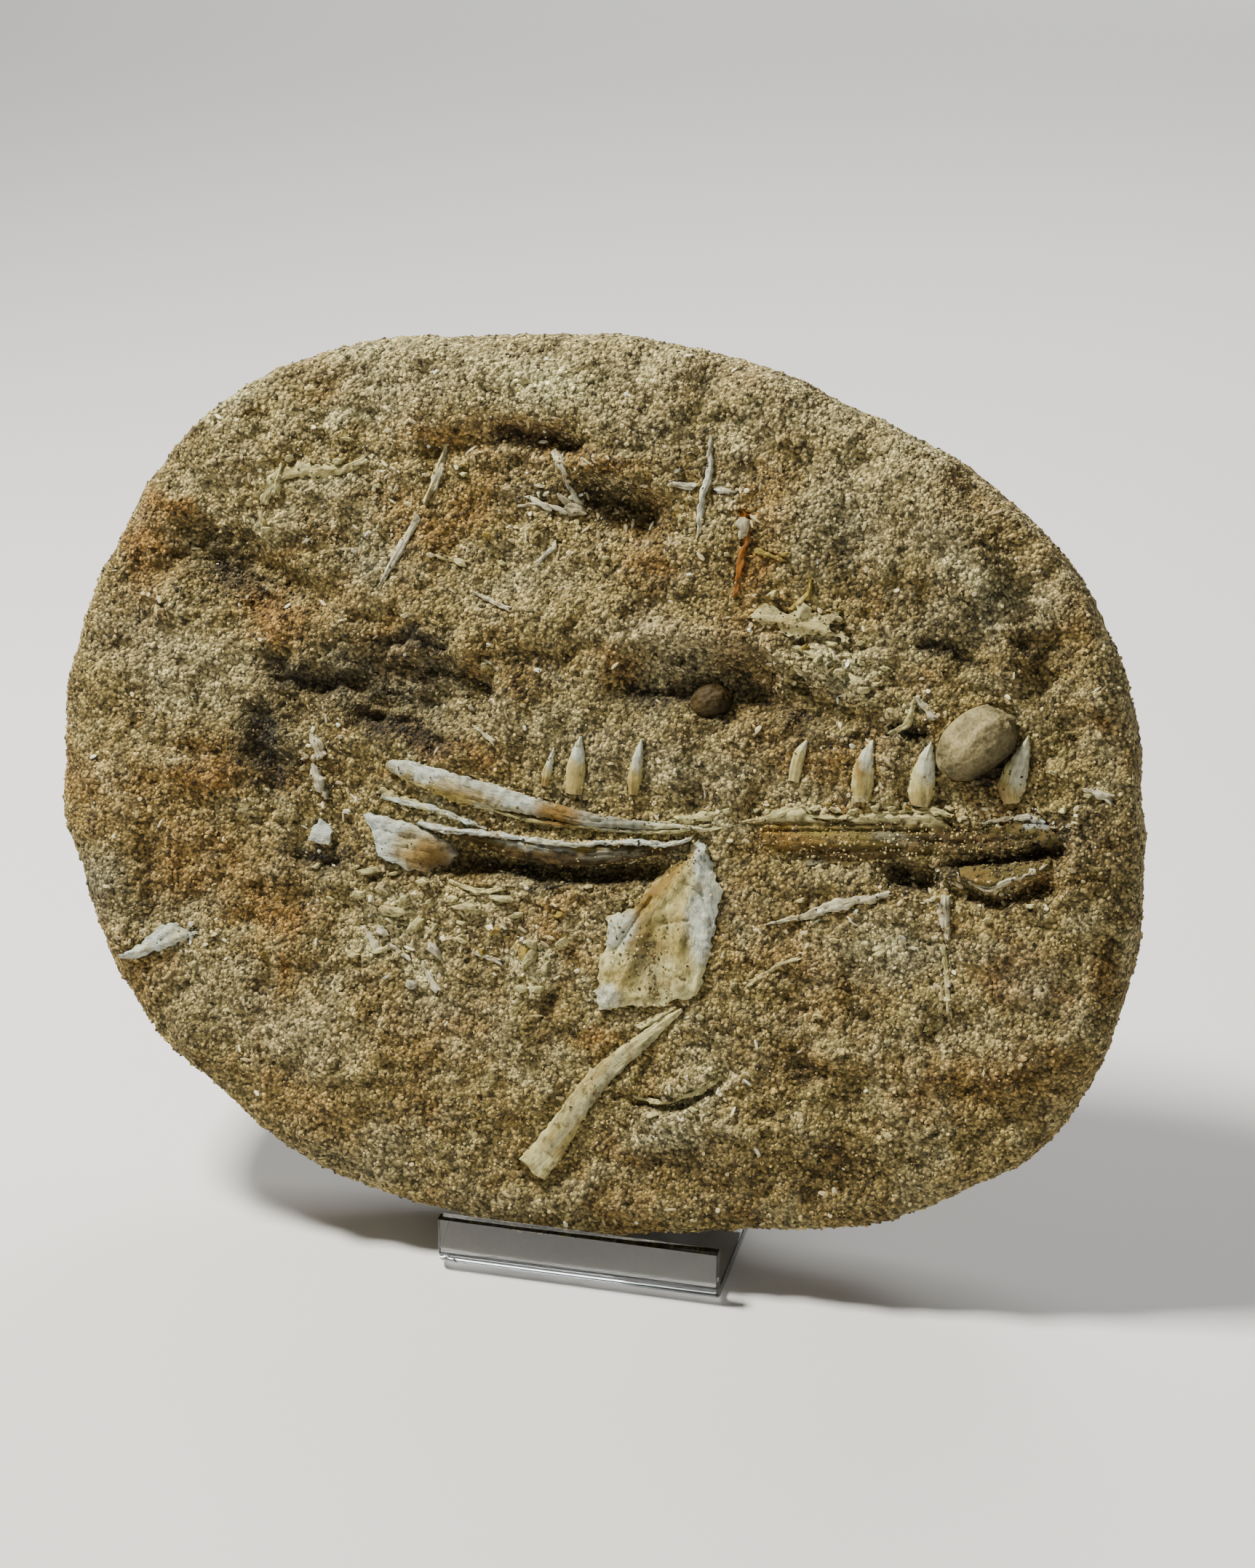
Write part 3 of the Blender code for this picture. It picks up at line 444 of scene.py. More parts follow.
SCRAPED = (
    ((-52, 20), (26, 12), -6, 1.0), ((24, 27), (30, 9), -4, 1.0), ((-90, 42), (20, 13), -38, 0.9),
    ((-4, 64), (24, 12), -6, 0.9), ((56, 14), (26, 9), 8, 0.7), ((-30, -24), (40, 9), 0, 0.9),
    ((94, 20), (14, 40), 10, 0.7), ((-84, -12), (20, 26), 0, 0.5), ((48, 36), (16, 10), 0, 0.8),
    ((90, -12), (20, 8), 6, 0.7), ((-70, 66), (30, 12), 10, 0.5), ((22, -72), (22, 10), 0, 0.6),
    ((70, -62), (44, 28), 14, 0.45), ((-50, -66), (50, 24), -16, 0.35), ((10, -46), (50, 18), 0, 0.4),
)


GASHES = (
    (((83, 9.6), (87, 11.4), (88.6, 14)), 1.4, -2.6), (((62, 17.6), (66, 18.4), (70, 17)), 1.3, -3.0),
    (((66, -13.4), (70, -14.6), (74, -13.2)), 2.0, -2.6), (((80, -10.2), (90, -7.6), (101, -4.6)), 1.1, -2.2),
    (((82, -16.6), (89, -17.4), (98, -13)), 1.5, -2.0),
    (((-34, -21.8), (-20, -20.6), (-4, -20.6), (12, -18)), 1.7, -1.6),
    (((-56, 27), (-48, 28.4), (-40, 27)), 1.4, -2.4), (((-78, 17), (-70, 16), (-64, 17.6)), 1.8, -2.2),
    (((-58, 10), (-50, 8.6), (-40, 5.6)), 2.2, -2.4), (((-30, 76.6), (-22, 76.4), (-16, 74.6)), 1.5, -2.4),
    (((-9, 64), (-3, 62), (4, 60)), 2.8, -2.4), (((4, 22), (12, 20.4), (18, 22)), 2.0, -2.4),
    (((40, 37), (46, 37.6), (51, 36)), 1.6, -2.4), (((28, 24), (38, 20), (46, 18)), 1.8, -1.6),
    (((68, 37), (74, 36), (80, 33)), 1.5, -1.8), (((-82, 8), (-80, 0), (-76, -6)), 3.4, -2.2),
    (((-95, 42), (-88, 38), (-84, 33)), 2.6, -2.2), (((-71, -23), (-62, -24)), 1.8, -2.0),
    (((-44, 24), (-34, 22), (-28, 18)), 1.4, -1.6), (((14, -69.6), (22, -69.8), (30, -64.6)), 1.0, -1.6),
    (((-52, -36), (-46, -38)), 1.2, -1.2), (((36, -36), (48, -39), (60, -37)), 1.0, -1.0),
)


def gashes(u, v):
    """Narrow dark gashes where a tool undercut the sand."""
    away_u, away_v = u + 1.2 * lumps(u, v, 3, 93.0), v + 1.2 * lumps(u, v, 3, 94.0)
    return sum(depth * np.exp(-((beyond_run(away_u, away_v, points, [0] * len(points)) / half) ** 2))
               for points, half, depth in GASHES)


def scraping(u, v):
    """The short lying ridges that a scraper left in the hollows and beside the bones."""
    share = np.clip(sum(strength * in_oval(u, v, middle, half, turn, 1.2)
                        for middle, half, turn, strength in SCRAPED), 0, 1.2)
    leaf = lumps(u * 0.45, v + 0.12 * u, 2.6, 90.0)
    plate = lumps(u * 0.6, v - 0.1 * u, 5.5, 91.0)
    return share * (2.4 * (0.35 - np.abs(leaf)) + 3.0 * (0.3 - np.abs(plate)))


def face_height(u, v, clear):
    """Height of the rock's face above its mean plane."""
    calm = np.clip(clear / 4.0, 0, 1)
    return broad_height(u, v) + calm * (1.9 * lumps(u, v, 11, 11.0) + 1.2 * lumps(u, v, 6, 6.0)
                                        + scraping(u, v)) + np.clip(clear / 1.5, 0, 1) * gashes(u, v)


def skin_of_stone():
    """Points and faces of the closed skin, in slab millimetres."""
    clear = clear_of_bones(*face_points.T)
    height = face_height(*face_points.T, clear)
    rings = [np.column_stack((face_points, height - (clear < -0.2) * 0.9))]
    for inset, depth in rolled[1:-1]:
        spots = rim - out_of_rim * inset
        bulge = 1.3 * np.array([noise.noise((u / 17, v / 17, depth / 17)) for u, v in spots])
        relief = 1.0 - min(1.0, depth / 10.0)
        height = relief * face_height(*spots.T, clear_of_bones(*spots.T)) - depth
        toward = spots / np.linalg.norm(spots, axis=1)[:, None] * bulge[:, None]
        rings.append(np.column_stack((spots + toward, height)))
    hollow = 3.0 * np.maximum(0, lumps(*back_points.T, 24, 40.0))
    rings.append(np.column_stack((back_points, hollow - SLAB_THICK)))

    faces = face_faces.tolist()
    upper = np.arange(RIM_COUNT)
    start = len(face_points)
    for ring in rings[1:]:
        lower = start + np.arange(RIM_COUNT)
        faces += np.stack((upper, np.roll(upper, -1), np.roll(lower, -1), lower), 1).tolist()
        upper = lower
        start += len(ring)
    faces += (back_faces[:, ::-1] + start - len(back_points)).tolist()
    return np.vstack(rings), faces


skin, skin_faces = skin_of_stone()
print("skin:", len(skin), "points", "faces:", len(skin_faces))

# %% [markdown]
# ### Crumbs, pits and stains
# Two sizes of crumbs push the skin out and in: cells of about 3 mm that stand apart like packed lumps, and
# grit below a millimetre and a half. They fade out beside a bone. The stains are ovals with ragged borders,
# each named by its colour, because iron and bone dust coloured the real rock in patches. The near-black
# ones are partly painted shade in the hollows, pits and gashes, under the jaw and around the pebble.

# %% Crumbs


def crumbs(spots):
    """How far the grainy skin stands out at each place, in millimetres."""
    out = np.empty(len(spots))
    for i, spot in enumerate(Vector(p) for p in spots):
        near, next_near = noise.voronoi(spot / 3.1)[0][:2]
        chip_near, chip_next = noise.voronoi(spot / 1.5 + Vector((9, 4, 2)))[0][:2]
        out[i] = (0.55 * min(0.5, next_near - near) - 0.4 * near
                  + 0.35 * min(0.5, chip_next - chip_near) - 0.2 * chip_near
                  + 0.5 * noise.noise(spot / 2.2))
    return out


def normals_of(points, faces):
    """The direction out of the skin at each point."""
    net = bpy.data.meshes.new("net")
    net.from_pydata(points.tolist(), [], faces)
    out = np.empty(len(points) * 3, np.float32)
    net.vertex_normals.foreach_get("vector", out)
    bpy.data.meshes.remove(net)
    return out.reshape(-1, 3).astype(float)


skin_out = normals_of(skin, skin_faces)
skin_clear = np.where(skin[:, 2] > -12, clear_of_bones(skin[:, 0], skin[:, 1]), 60.0)
crumbly = np.clip(0.35 + skin_clear / 1.2, 0, 1)
grainy_skin = skin + skin_out * (crumbs(skin) * crumbly)[:, None]
print("crumbs stand out by up to", round(float((crumbs(skin[:2000])).max()), 2), "mm")

# %% Stains and painted shade by colour: middle, half sizes, turn, strength
COLOURS = {
    "tan": (0.345, 0.262, 0.089), "pale": (0.53, 0.46, 0.22), "cream": (0.76, 0.69, 0.34),
    "grey": (0.30, 0.28, 0.165), "brown": (0.135, 0.085, 0.022), "rust": (0.285, 0.135, 0.020),
    # The near-black colour is the rock's own dark patches and also painted shade.
    "dark_and_shade": (0.022, 0.017, 0.011),
}
STAINS = {
    "rust": (
        ((-106, 53), (8, 3.5), -10, 0.8), ((-113, 45), (10, 6), -20, 0.7), ((-84, 33), (9, 6), -30, 0.75),
        ((-80, 27), (9, 4), 0, 0.5), ((-92, -5), (8, 5), 0, 0.5), ((-73, -5), (8, 4), 0, 0.3),
        ((-110, -12), (14, 11), 0, 0.35), ((-95, -28), (15, 11), 0, 0.4), ((-72, -37), (9, 3), 0, 0.7),
        ((-71, -47), (2, 5), 0, 0.7), ((-36, 59), (7, 5), 20, 0.6), ((-44, 74), (15, 4), -4, 0.55),
        ((-28, 78), (10, 3), 0, 0.5), ((-5, 70), (9, 3), 0, 0.6), ((3, 59), (8, 6), 0, 0.4),
        ((5, 50), (9, 3), 0, 0.45), ((28, 49), (3, 9), 0, 0.5), ((33, 53), (5, 2), -10, 0.6),
        ((1, 28), (7, 5), 0, 0.55), ((-33, 24), (3, 4), 0, 0.4), ((-36, 4.5), (13, 2.6), -10, 0.6),
        ((-50, -4), (5, 1.8), -10, 0.7), ((-12, -34), (9, 5), 0, 0.6), ((-28, -57), (9, 4), -10, 0.4),
        ((3, -57), (4, 3), 20, 0.7), ((44, -8), (9, 4), -8, 0.5), ((79, -24), (4, 4), 0, 0.5),
        ((92, -35), (4, 3), 0, 0.6), ((105, -36), (2.6, 3), 0, 0.7), ((113, -30), (4, 7), 0, 0.5),
        ((43, -34), (13, 4), 5, 0.4), ((99, -12), (10, 3), 12, 0.5), ((93, 55), (7, 5), -40, 0.45),
        ((103, 44), (6, 5), 0, 0.4), ((68, 29), (4, 3), 0, 0.45), ((104, 24), (8, 3), -10, 0.35),
        ((89, 2), (4, 3), 0, 0.6), ((58, 0), (6, 1.6), 0, 0.5), ((84, -58), (12, 7), 10, 0.4),
        ((-45, -60), (14, 8), 10, 0.3), ((10, 36), (12, 4), 0, 0.35), ((-60, -80), (18, 8), -20, 0.3),
    ),
    "brown": (
        ((-92, 64), (5, 4), -30, 0.6), ((-75, 86), (9, 4), 0, 0.4), ((-92, 2), (9, 4), 0, 0.6),
        ((-11, -29), (5, 2), 0, 0.6), ((-20, 27), (10, 4), 0, 0.5), ((6, 72), (8, 3), 0, 0.5),
        ((86, 62), (3, 9), -35, 0.5), ((110, -5), (10, 9), 0, 0.55), ((50, 8), (12, 5), 0, 0.35),
        ((-25, 66), (10, 6), 0, 0.4), ((33, -53), (12, 4), -10, 0.5), ((60, -84), (30, 9), -10, 0.45),
        ((-10, -92), (28, 6), 0, 0.4), ((-64, -26), (14, 5), 0, 0.4), ((88, 32), (9, 7), 0, 0.4),
        ((84, -10), (8, 3), 0, 0.5), ((-104, -38), (8, 4), -20, 0.5), ((60, 45), (14, 5), 0, 0.3),
        ((-90, -70), (12, 7), -30, 0.3), ((20, 72), (8, 4), 0, 0.4), ((-30, -18), (8, 3), -8, 0.7),
        ((100, -60), (9, 12), 20, 0.4), ((30, -86), (18, 7), 0, 0.35),
    ),
    # Near-black ovals: partly dark patches of the rock, partly painted shade in the hollows, pits and gashes, under the
    # jaw and as the pebble's shadow at (84, 10).
    "dark_and_shade": (
        ((-80, 4), (9, 10), -10, 0.75), ((-78, -4), (6, 6), 0, 0.5), ((-54, 16), (19, 8), -8, 0.8),
        ((-92, 42), (9, 6), -30, 0.5),
        ((70, 41), (9, 6), 0, 0.5), ((58, 26), (8, 4), 0, 0.3),
        ((-44, 6), (9, 3.4), -6, 0.6), ((-91, 40), (8, 6), -30, 0.7), ((6, 20), (9, 3.6), 0, 0.75),
        ((24, 21), (10, 3), 0, 0.4), ((40, 17), (7, 4), 0, 0.5), ((48, 30), (5, 4), 0, 0.55),
        ((44, 34), (3.6, 2.6), 0, 0.7), ((84, 10), (5, 3), 20, 0.75), ((97, 0), (10, 3.6), 14, 0.6),
        ((80, -12), (12, 2.6), 16, 0.7), ((-62, -23), (7, 2.6), 0, 0.7), ((72, 62), (4, 3), 0, 0.4),
        ((46, -50), (6, 2.4), 0, 0.4), ((-12, -21.4), (26, 1.7), 0, 0.75), ((-90, -36), (8, 2), 0, 0.3),
        ((90, 40), (3, 8), -30, 0.4), ((-22, 62), (9, 3), 0, 0.4), ((70, 14), (8, 2), 0, 0.4),
        ((-5, 62), (8, 4.5), -8, 0.75), ((-24, 76.4), (6, 1.4), -4, 0.9), ((-97, 45), (10, 5), -25, 0.5),
        ((-90, 37), (6, 5), 0, 0.4), ((-75, 18), (11, 3.4), -6, 0.7), ((-57, 17), (15, 5), -8, 0.5),
        ((-50, 7.6), (14, 2.4), -6, 0.75), ((-37, 20), (9, 4), 0, 0.45), ((-62, 29), (4, 5), -30, 0.4),
        ((-48, 29.6), (6, 1.6), -6, 0.85), ((-76, 48), (4, 1.6), 0, 0.6), ((24, 24), (17, 4.6), -4, 0.65),
        ((45, 37.6), (6, 2), -2, 0.75), ((73, 36), (7, 2), -10, 0.5), ((52, 16), (13, 2), 14, 0.55),
        ((66, 17.4), (4, 1.2), 0, 0.9), ((-67, -23.5), (7, 2), -4, 0.65), ((94, -2), (11, 2), 6, 0.6),
        ((-20, -21), (16, 2), 0, 0.5), ((69, -14), (6, 2), -14, 0.6), ((95, 37), (8, 2), -12, 0.6),
        ((22, -69), (9, 1.4), 0, 0.6),
    ),
    "grey": (
        ((-50, 21), (16, 8), -6, 0.4), ((20, 31), (16, 7), 0, 0.4), ((70, -30), (16, 5), 4, 0.5),
        ((82, 47), (6, 7), 0, 0.5), ((70, 59), (9, 5), -30, 0.5), ((-60, 46), (9, 6), 0, 0.4),
        ((-112, 24), (12, 9), 0, 0.35), ((-118, -32), (6, 8), 20, 0.5), ((100, -34), (10, 7), 0, 0.4),
        ((46, 72), (4, 8), 0, 0.4), ((-34, -54), (9, 5), 10, 0.4), ((10, 6), (28, 7), -4, 0.35),
        ((20, -76), (9, 5), 0, 0.4), ((-56, 80), (14, 6), 0, 0.3), ((-90, -56), (14, 9), -20, 0.3),
        ((2, 78), (14, 5), 0, 0.25), ((48, 60), (12, 8), 0, 0.3), ((-52, -92), (16, 6), 0, 0.35),
    ),
    "pale": (
        ((90, 49), (7, 6), 0, 0.75), ((60, -31), (9, 6), 0, 0.6), ((40, 84), (12, 7), -10, 0.6),
        ((4, 92), (8, 7), 0, 0.5), ((-66, -66), (12, 6), -20, 0.6), ((-46, -40), (16, 5), 0, 0.6),
        ((-24, -32), (12, 4), 0, 0.5), ((2, 33), (10, 3.4), 0, 0.6), ((46, 65), (8, 6), 0, 0.55),
        ((-96, 20), (12, 4), 0, 0.5), ((-14, 46), (10, 4), 0, 0.4), ((-20, 12), (14, 5), 0, 0.4),
        ((-104, 62), (4, 6), 20, 0.6), ((22, -24), (12, 4), 0, 0.3), ((-10, -96), (14, 3), 0, 0.5),
        ((90, -46), (10, 5), 0, 0.35), ((-10, 92), (70, 10), 2, 0.45), ((64, 70), (26, 9), -35, 0.35),
        ((-98, 13), (14, 6), 5, 0.5),
        ((-72, 76), (15, 3), 6, 0.55), ((-98, 60), (5, 3), 0, 0.4), ((-103, 24), (5, 3), 0, 0.5),
        ((-99, -4), (5, 2), 0, 0.5), ((-46, -32), (9, 4), 10, 0.55), ((-13, -42), (7, 5), 0, 0.5),
        ((2, -31), (3, 5), 0, 0.5), ((29, -66), (6, 2), 40, 0.6), ((60, -30), (13, 2.4), 5, 0.5),
        ((78, -33), (2.4, 8), 4, 0.5), ((60, 56), (7, 2), 10, 0.4), ((76, 56), (6, 2.4), -50, 0.6),
        ((67, 23), (3, 7), -35, 0.5), ((46, 34), (9, 7), -20, 0.4), ((12, 34), (10, 4), 0, 0.35),
        ((97, 52), (6, 6), 0, 0.35), ((20, 4), (22, 3), 2, 0.3), ((-20, -26), (9, 2), 15, 0.4),
        ((-70, 60), (14, 5), 10, 0.3), ((-40, -46), (4, 5), -30, 0.5), ((56, 2), (18, 2), 2, 0.35),
        ((-45, 90), (24, 7), 6, 0.4), ((60, -50), (16, 5), 0, 0.2),
    ),
    "cream": (
        ((-47, -33), (6, 3), -10, 0.6), ((-14, -41), (4, 6), 0, 0.6), ((-30, -29), (8, 2.2), 6, 0.5),
        ((-52, -41), (5, 2.4), 10, 0.6), ((-38, -47), (3, 4), -20, 0.5), ((-3, -33), (3, 4), 0, 0.4),
        ((64, -29), (8, 2), 8, 0.4), ((46, 33), (7, 5), -20, 0.5), ((53, 30), (4, 4), 0, 0.5),
        ((-72, 63), (12, 3), 8, 0.5), ((76, 52), (5, 2), -45, 0.5), ((28, -63), (5, 2), 40, 0.5),
        ((-20, 86.5), (11, 4.6), -8, 0.85), ((-94, 81), (8, 3), 30, 0.7), ((-97, 53), (5, 1.4), -20, 0.6),
        ((-84, 50), (4, 2.6), -20, 0.7), ((-66, 76), (6, 1.2), 8, 0.6), ((-11, -45), (3.4, 4), 0, 0.5),
        ((20, -75), (5, 3), 0, 0.35), ((-60, 51), (2, 1.2), 0, 0.7), ((-63, 47), (2, 1), 0, 0.7),
        ((-93, -50), (2, 1), 0, 0.6), ((-72, 64), (10, 1.6), 8, 0.4), ((27, -5.4), (5, 1.5), 15, 0.6),
    ),
}
print("stains:", {colour: len(ovals) for colour, ovals in STAINS.items()})

# %% Colour at each point


RIM_BEGINS = 8  # millimetres below the face


def stained(spots):
    """Colour of the sand at each place, as red, green, blue and 1, with painted shade in low places and painted light
    on raised ones.
    """
    u = spots[:, 0] + 3.4 * lumps(spots[:, 0], spots[:, 1], 9, 60.0) + 1.6 * lumps(*spots[:, :2].T, 3, 61.0)
    v = spots[:, 1] + 3.4 * lumps(spots[:, 0], spots[:, 1], 9, 62.0) + 1.6 * lumps(*spots[:, :2].T, 3, 63.0)
    deep = np.minimum(spots[:, 2] + RIM_BEGINS, 0)  # down the rim, so that no colour runs through the slab in a band
    u, v = u + 0.6 * deep, v - 0.8 * deep
    colour = np.tile(COLOURS["tan"], (len(spots), 1))

    def toward(name, share):
        colour[:] = colour + (np.array(COLOURS[name]) - colour) * np.clip(share, 0, 1)[:, None]

    toward("brown", 0.9 * lumps(u, v, 14, 64.0) + 0.5 * lumps(u, v, 5, 65.0) + 0.10)
    toward("pale", 0.8 * lumps(u, v, 17, 66.0) + 0.6 * lumps(u, v, 4, 67.0) + 0.05)
    toward("rust", 0.7 * lumps(u, v, 21, 68.0) + 0.3 * lumps(u, v, 6, 69.0))
    on_face = np.clip(1 + spots[:, 2] / 14, 0, 1)
    # Painted shade: darker where the small lumps and the scraper's ridges lie low, and in the gashes. Painted light:
    # paler where they stand high.
    low = -1.9 * lumps(*spots[:, :2].T, 11, 11.0) - 1.2 * lumps(*spots[:, :2].T, 6, 6.0)
    toward("dark_and_shade", on_face * np.clip(0.35 * (low - 0.4) - 0.35 * scraping(*spots[:, :2].T), 0, 0.55))
    toward("pale", on_face * np.clip(-0.22 * (low + 0.5) + 0.10 * scraping(*spots[:, :2].T), 0, 0.4))
    toward("dark_and_shade", on_face * np.clip(-0.42 * gashes(*spots[:, :2].T), 0, 0.9))
    for name, ovals in STAINS.items():
        for middle, half, turn, strength in ovals:
            toward(name, strength * on_face * in_oval(u, v, middle, half, turn, 1.2))
    # Painted highlight: a paler band along the rounded edge of the upper part of the face.
    rim_highlight = np.clip(1 + beyond_outline(*spots[:, :2].T, OUTLINE) / 3.6, 0, 1) * on_face
    toward("pale", 0.8 * rim_highlight * (0.75 + 1.2 * lumps(u, v, 9, 73.0)) * (spots[:, 1] > -30))
    return np.column_stack((colour, np.ones(len(spots))))


FLECKED = (
    ((-36, -33), (26, 9), 4, 1.0), ((-12, -40), (12, 9), 0, 0.8), ((46, 33), (14, 9), -20, 1.0),
    ((-12, 62), (14, 12), 0, 0.9), ((-60, 50), (12, 7), 0, 0.5), ((-50, 66), (14, 10), 0, 0.5),
    ((20, 62), (14, 14), 0, 0.6), ((64, 20), (9, 10), -30, 0.8), ((56, 0), (46, 2.6), 2, 1.0),
    ((10, -8), (34, 2.2), 2, 0.9), ((-44, -9), (12, 3), -6, 0.9), ((92, -12), (12, 6), 0, 0.8),
    ((-66, -4), (5, 16), 0, 0.9), ((24, -68), (12, 5), 20, 0.8), ((76, -30), (6, 16), 0, 0.7),
    ((16, -40), (9, 12), 0, 0.6), ((-98, -46), (14, 7), 0, 0.6), ((96, 2), (9, 4), 0, 0.8),
    ((-76, 62), (16, 7), 10, 0.6), ((-30, 22), (8, 8), 0, 0.4), ((60, -24), (24, 5), 16, 0.5),
)


def fleck_share(spots):
    """How thickly flecks of bone lie at each place on the face."""
    u, v = spots[:, :2].T
    share = 0.05 + sum(strength * in_oval(u, v, middle, half, turn, 1.3)
                       for middle, half, turn, strength in FLECKED)
    return np.clip(share * (0.7 + 2.0 * lumps(u, v, 3.5, 74.0)), 0, 1) * (spots[:, 2] > -7) * (skin_clear > -0.1)


def piece(name, points, faces, finish, smooth=True, **attributes):
    """An object from points in slab millimetres, with its finish and any named attributes."""
    mesh = bpy.data.meshes.new(name)
    mesh.from_pydata(in_scene(points).tolist(), [], faces)
    for label, values in attributes.items():
        values = np.asarray(values, np.float32)
        kind, field = ("FLOAT", "value") if values.ndim == 1 else ("FLOAT_COLOR", "color")
        mesh.attributes.new(label, kind, "POINT").data.foreach_set(field, values.ravel())
    if smooth:
        mesh.shade_smooth()
    mesh.materials.append(finish)
    made = bpy.data.objects.new(name, mesh)
    bpy.context.scene.collection.objects.link(made)
    return made


# %% [markdown]
# ## The sand's finish
# Each grain of the real sand has its own colour, from clear cream to nearly black. A Voronoi pattern gives
# each cell a random value, which a ramp turns into a shade of the stain under it. The distance inside the
# cell makes the bump and a painted shade in the gaps between the grains. No picture is needed.

# %% A short way to write shader and geometry nodes


def add(tree, kind, inputs=None, **settings):
    """A node with its settings, and its inputs set to a value or joined to another node's socket."""
    node = tree.nodes.new(kind)
    for name, value in settings.items():
        setattr(node, name, value)
    for name, value in (inputs or {}).items():
        socket = node.inputs[name]
        if isinstance(value, bpy.types.NodeSocket):
            tree.links.new(value, socket)
        else:
            socket.default_value = value
    return node


def finish(name, **values):
    """A new material, its node tree and its Principled shader."""
    made = bpy.data.materials.new(name)
    made.use_nodes = True
    shader = made.node_tree.nodes["Principled BSDF"]
    for socket, value in values.items():
        shader.inputs[socket.replace("_", " ")].default_value = value
    return made, made.node_tree, shader


def ramp(tree, value, stops):
    """A colour ramp over a value. Stops are pairs of a place and a grey or a colour."""
    node = add(tree, "ShaderNodeValToRGB", {"Fac": value})
    elements = node.color_ramp.elements
    while len(elements) < len(stops):
        elements.new(1)
    for element, (place, colour) in zip(elements, stops):
        element.position = place
        colour = colour if isinstance(colour, tuple) else (colour,) * 3
        element.color = (*colour, 1)
    return node.outputs["Color"]


def blend_of(tree, kind, share, first, second):
    """Two colours mixed or multiplied. The share may be a number or a socket."""
    node = add(tree, "ShaderNodeMix", data_type="RGBA", blend_type=kind)
    for socket, value in zip((node.inputs[0], node.inputs[6], node.inputs[7]), (share, first, second)):
        if isinstance(value, bpy.types.NodeSocket):
            tree.links.new(value, socket)
        else:
            socket.default_value = value
    return node.outputs[2]


def reckon(tree, operation, *values):
    """One step of arithmetic on numbers or sockets."""
    node = add(tree, "ShaderNodeMath", operation=operation)
    for socket, value in zip(node.inputs, values):
        if isinstance(value, bpy.types.NodeSocket):
            tree.links.new(value, socket)
        else:
            socket.default_value = value
    return node.outputs[0]


# %% Sandy rock


def sandy_rock():
    made, tree, shader = finish("sandy_rock", Roughness=0.92, Specular_IOR_Level=0.25)
    place = add(tree, "ShaderNodeTexCoord").outputs["Object"]
    tint = add(tree, "ShaderNodeAttribute", attribute_name="tint").outputs["Color"]
    grains = add(tree, "ShaderNodeTexVoronoi", {"Vector": place, "Scale": 1250.0})
    dust = add(tree, "ShaderNodeTexVoronoi", {"Vector": place, "Scale": 2600.0})
    clumps = add(tree, "ShaderNodeTexNoise", {"Vector": place, "Scale": 420.0, "Detail": 3.0})
    shade = ramp(tree, grains.outputs["Color"], (
        (0.0, 0.05), (0.25, 0.16), (0.50, 0.36), (0.75, 0.56), (0.90, 0.85), (1.0, 1.0)))
    # Painted shade: each cell darkens towards its edge, in the gaps between the grains.
    gap_shade = ramp(tree, grains.outputs["Distance"], ((0.0, 1.0), (0.45, 0.85), (0.8, 0.30)))
    fine = ramp(tree, dust.outputs["Color"], ((0.0, 0.45), (0.5, 0.80), (1.0, 1.0)))
    patchy = ramp(tree, clumps.outputs["Fac"], ((0.30, 0.45), (0.55, 0.85), (0.75, 1.0)))
    colour = blend_of(tree, "MULTIPLY", 1.0, tint, shade)
    colour = blend_of(tree, "MULTIPLY", 0.8, colour, gap_shade)
    colour = blend_of(tree, "MULTIPLY", 0.8, colour, fine)
    colour = blend_of(tree, "MULTIPLY", 0.7, colour, patchy)
    node = add(tree, "ShaderNodeVectorMath", {0: colour}, operation="SCALE")
    node.inputs["Scale"].default_value = 3.2
    tree.links.new(node.outputs[0], shader.inputs["Base Color"])
    height = reckon(tree, "MULTIPLY_ADD", dust.outputs["Distance"], 0.3, grains.outputs["Distance"])
    bump = add(tree, "ShaderNodeBump", {"Height": height, "Strength": 1.0, "Distance": 0.0006},
               invert=True)
    tree.links.new(bump.outputs[0], shader.inputs["Normal"])
    return made


rock_finish = sandy_rock()
slab_stone = piece("slab_stone", grainy_skin, skin_faces, rock_finish,
                   smooth=False, tint=stained(skin), fleck=fleck_share(skin),
                   bare=np.clip((skin_clear + 0.1) / 0.5, 0, 1) * np.where(skin[:, 2] > -8, 1, 0.4))
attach(slab_stone, "root")
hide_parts("rock_slab")
print("slab triangles:", sum(len(face) - 2 for face in skin_faces))

# %% [markdown]
# ## Loose-looking grains
# At the stone's own scale its face is made of grains that catch the light one by one. Thousands of little
# nuggets are a job for Geometry Nodes: points are spread over the slab's own mesh, thinned by its attribute
# bare, which is 0 under a bone, and each point gets a nugget of random size, turn and shade.

# %% A tree that scatters nuggets


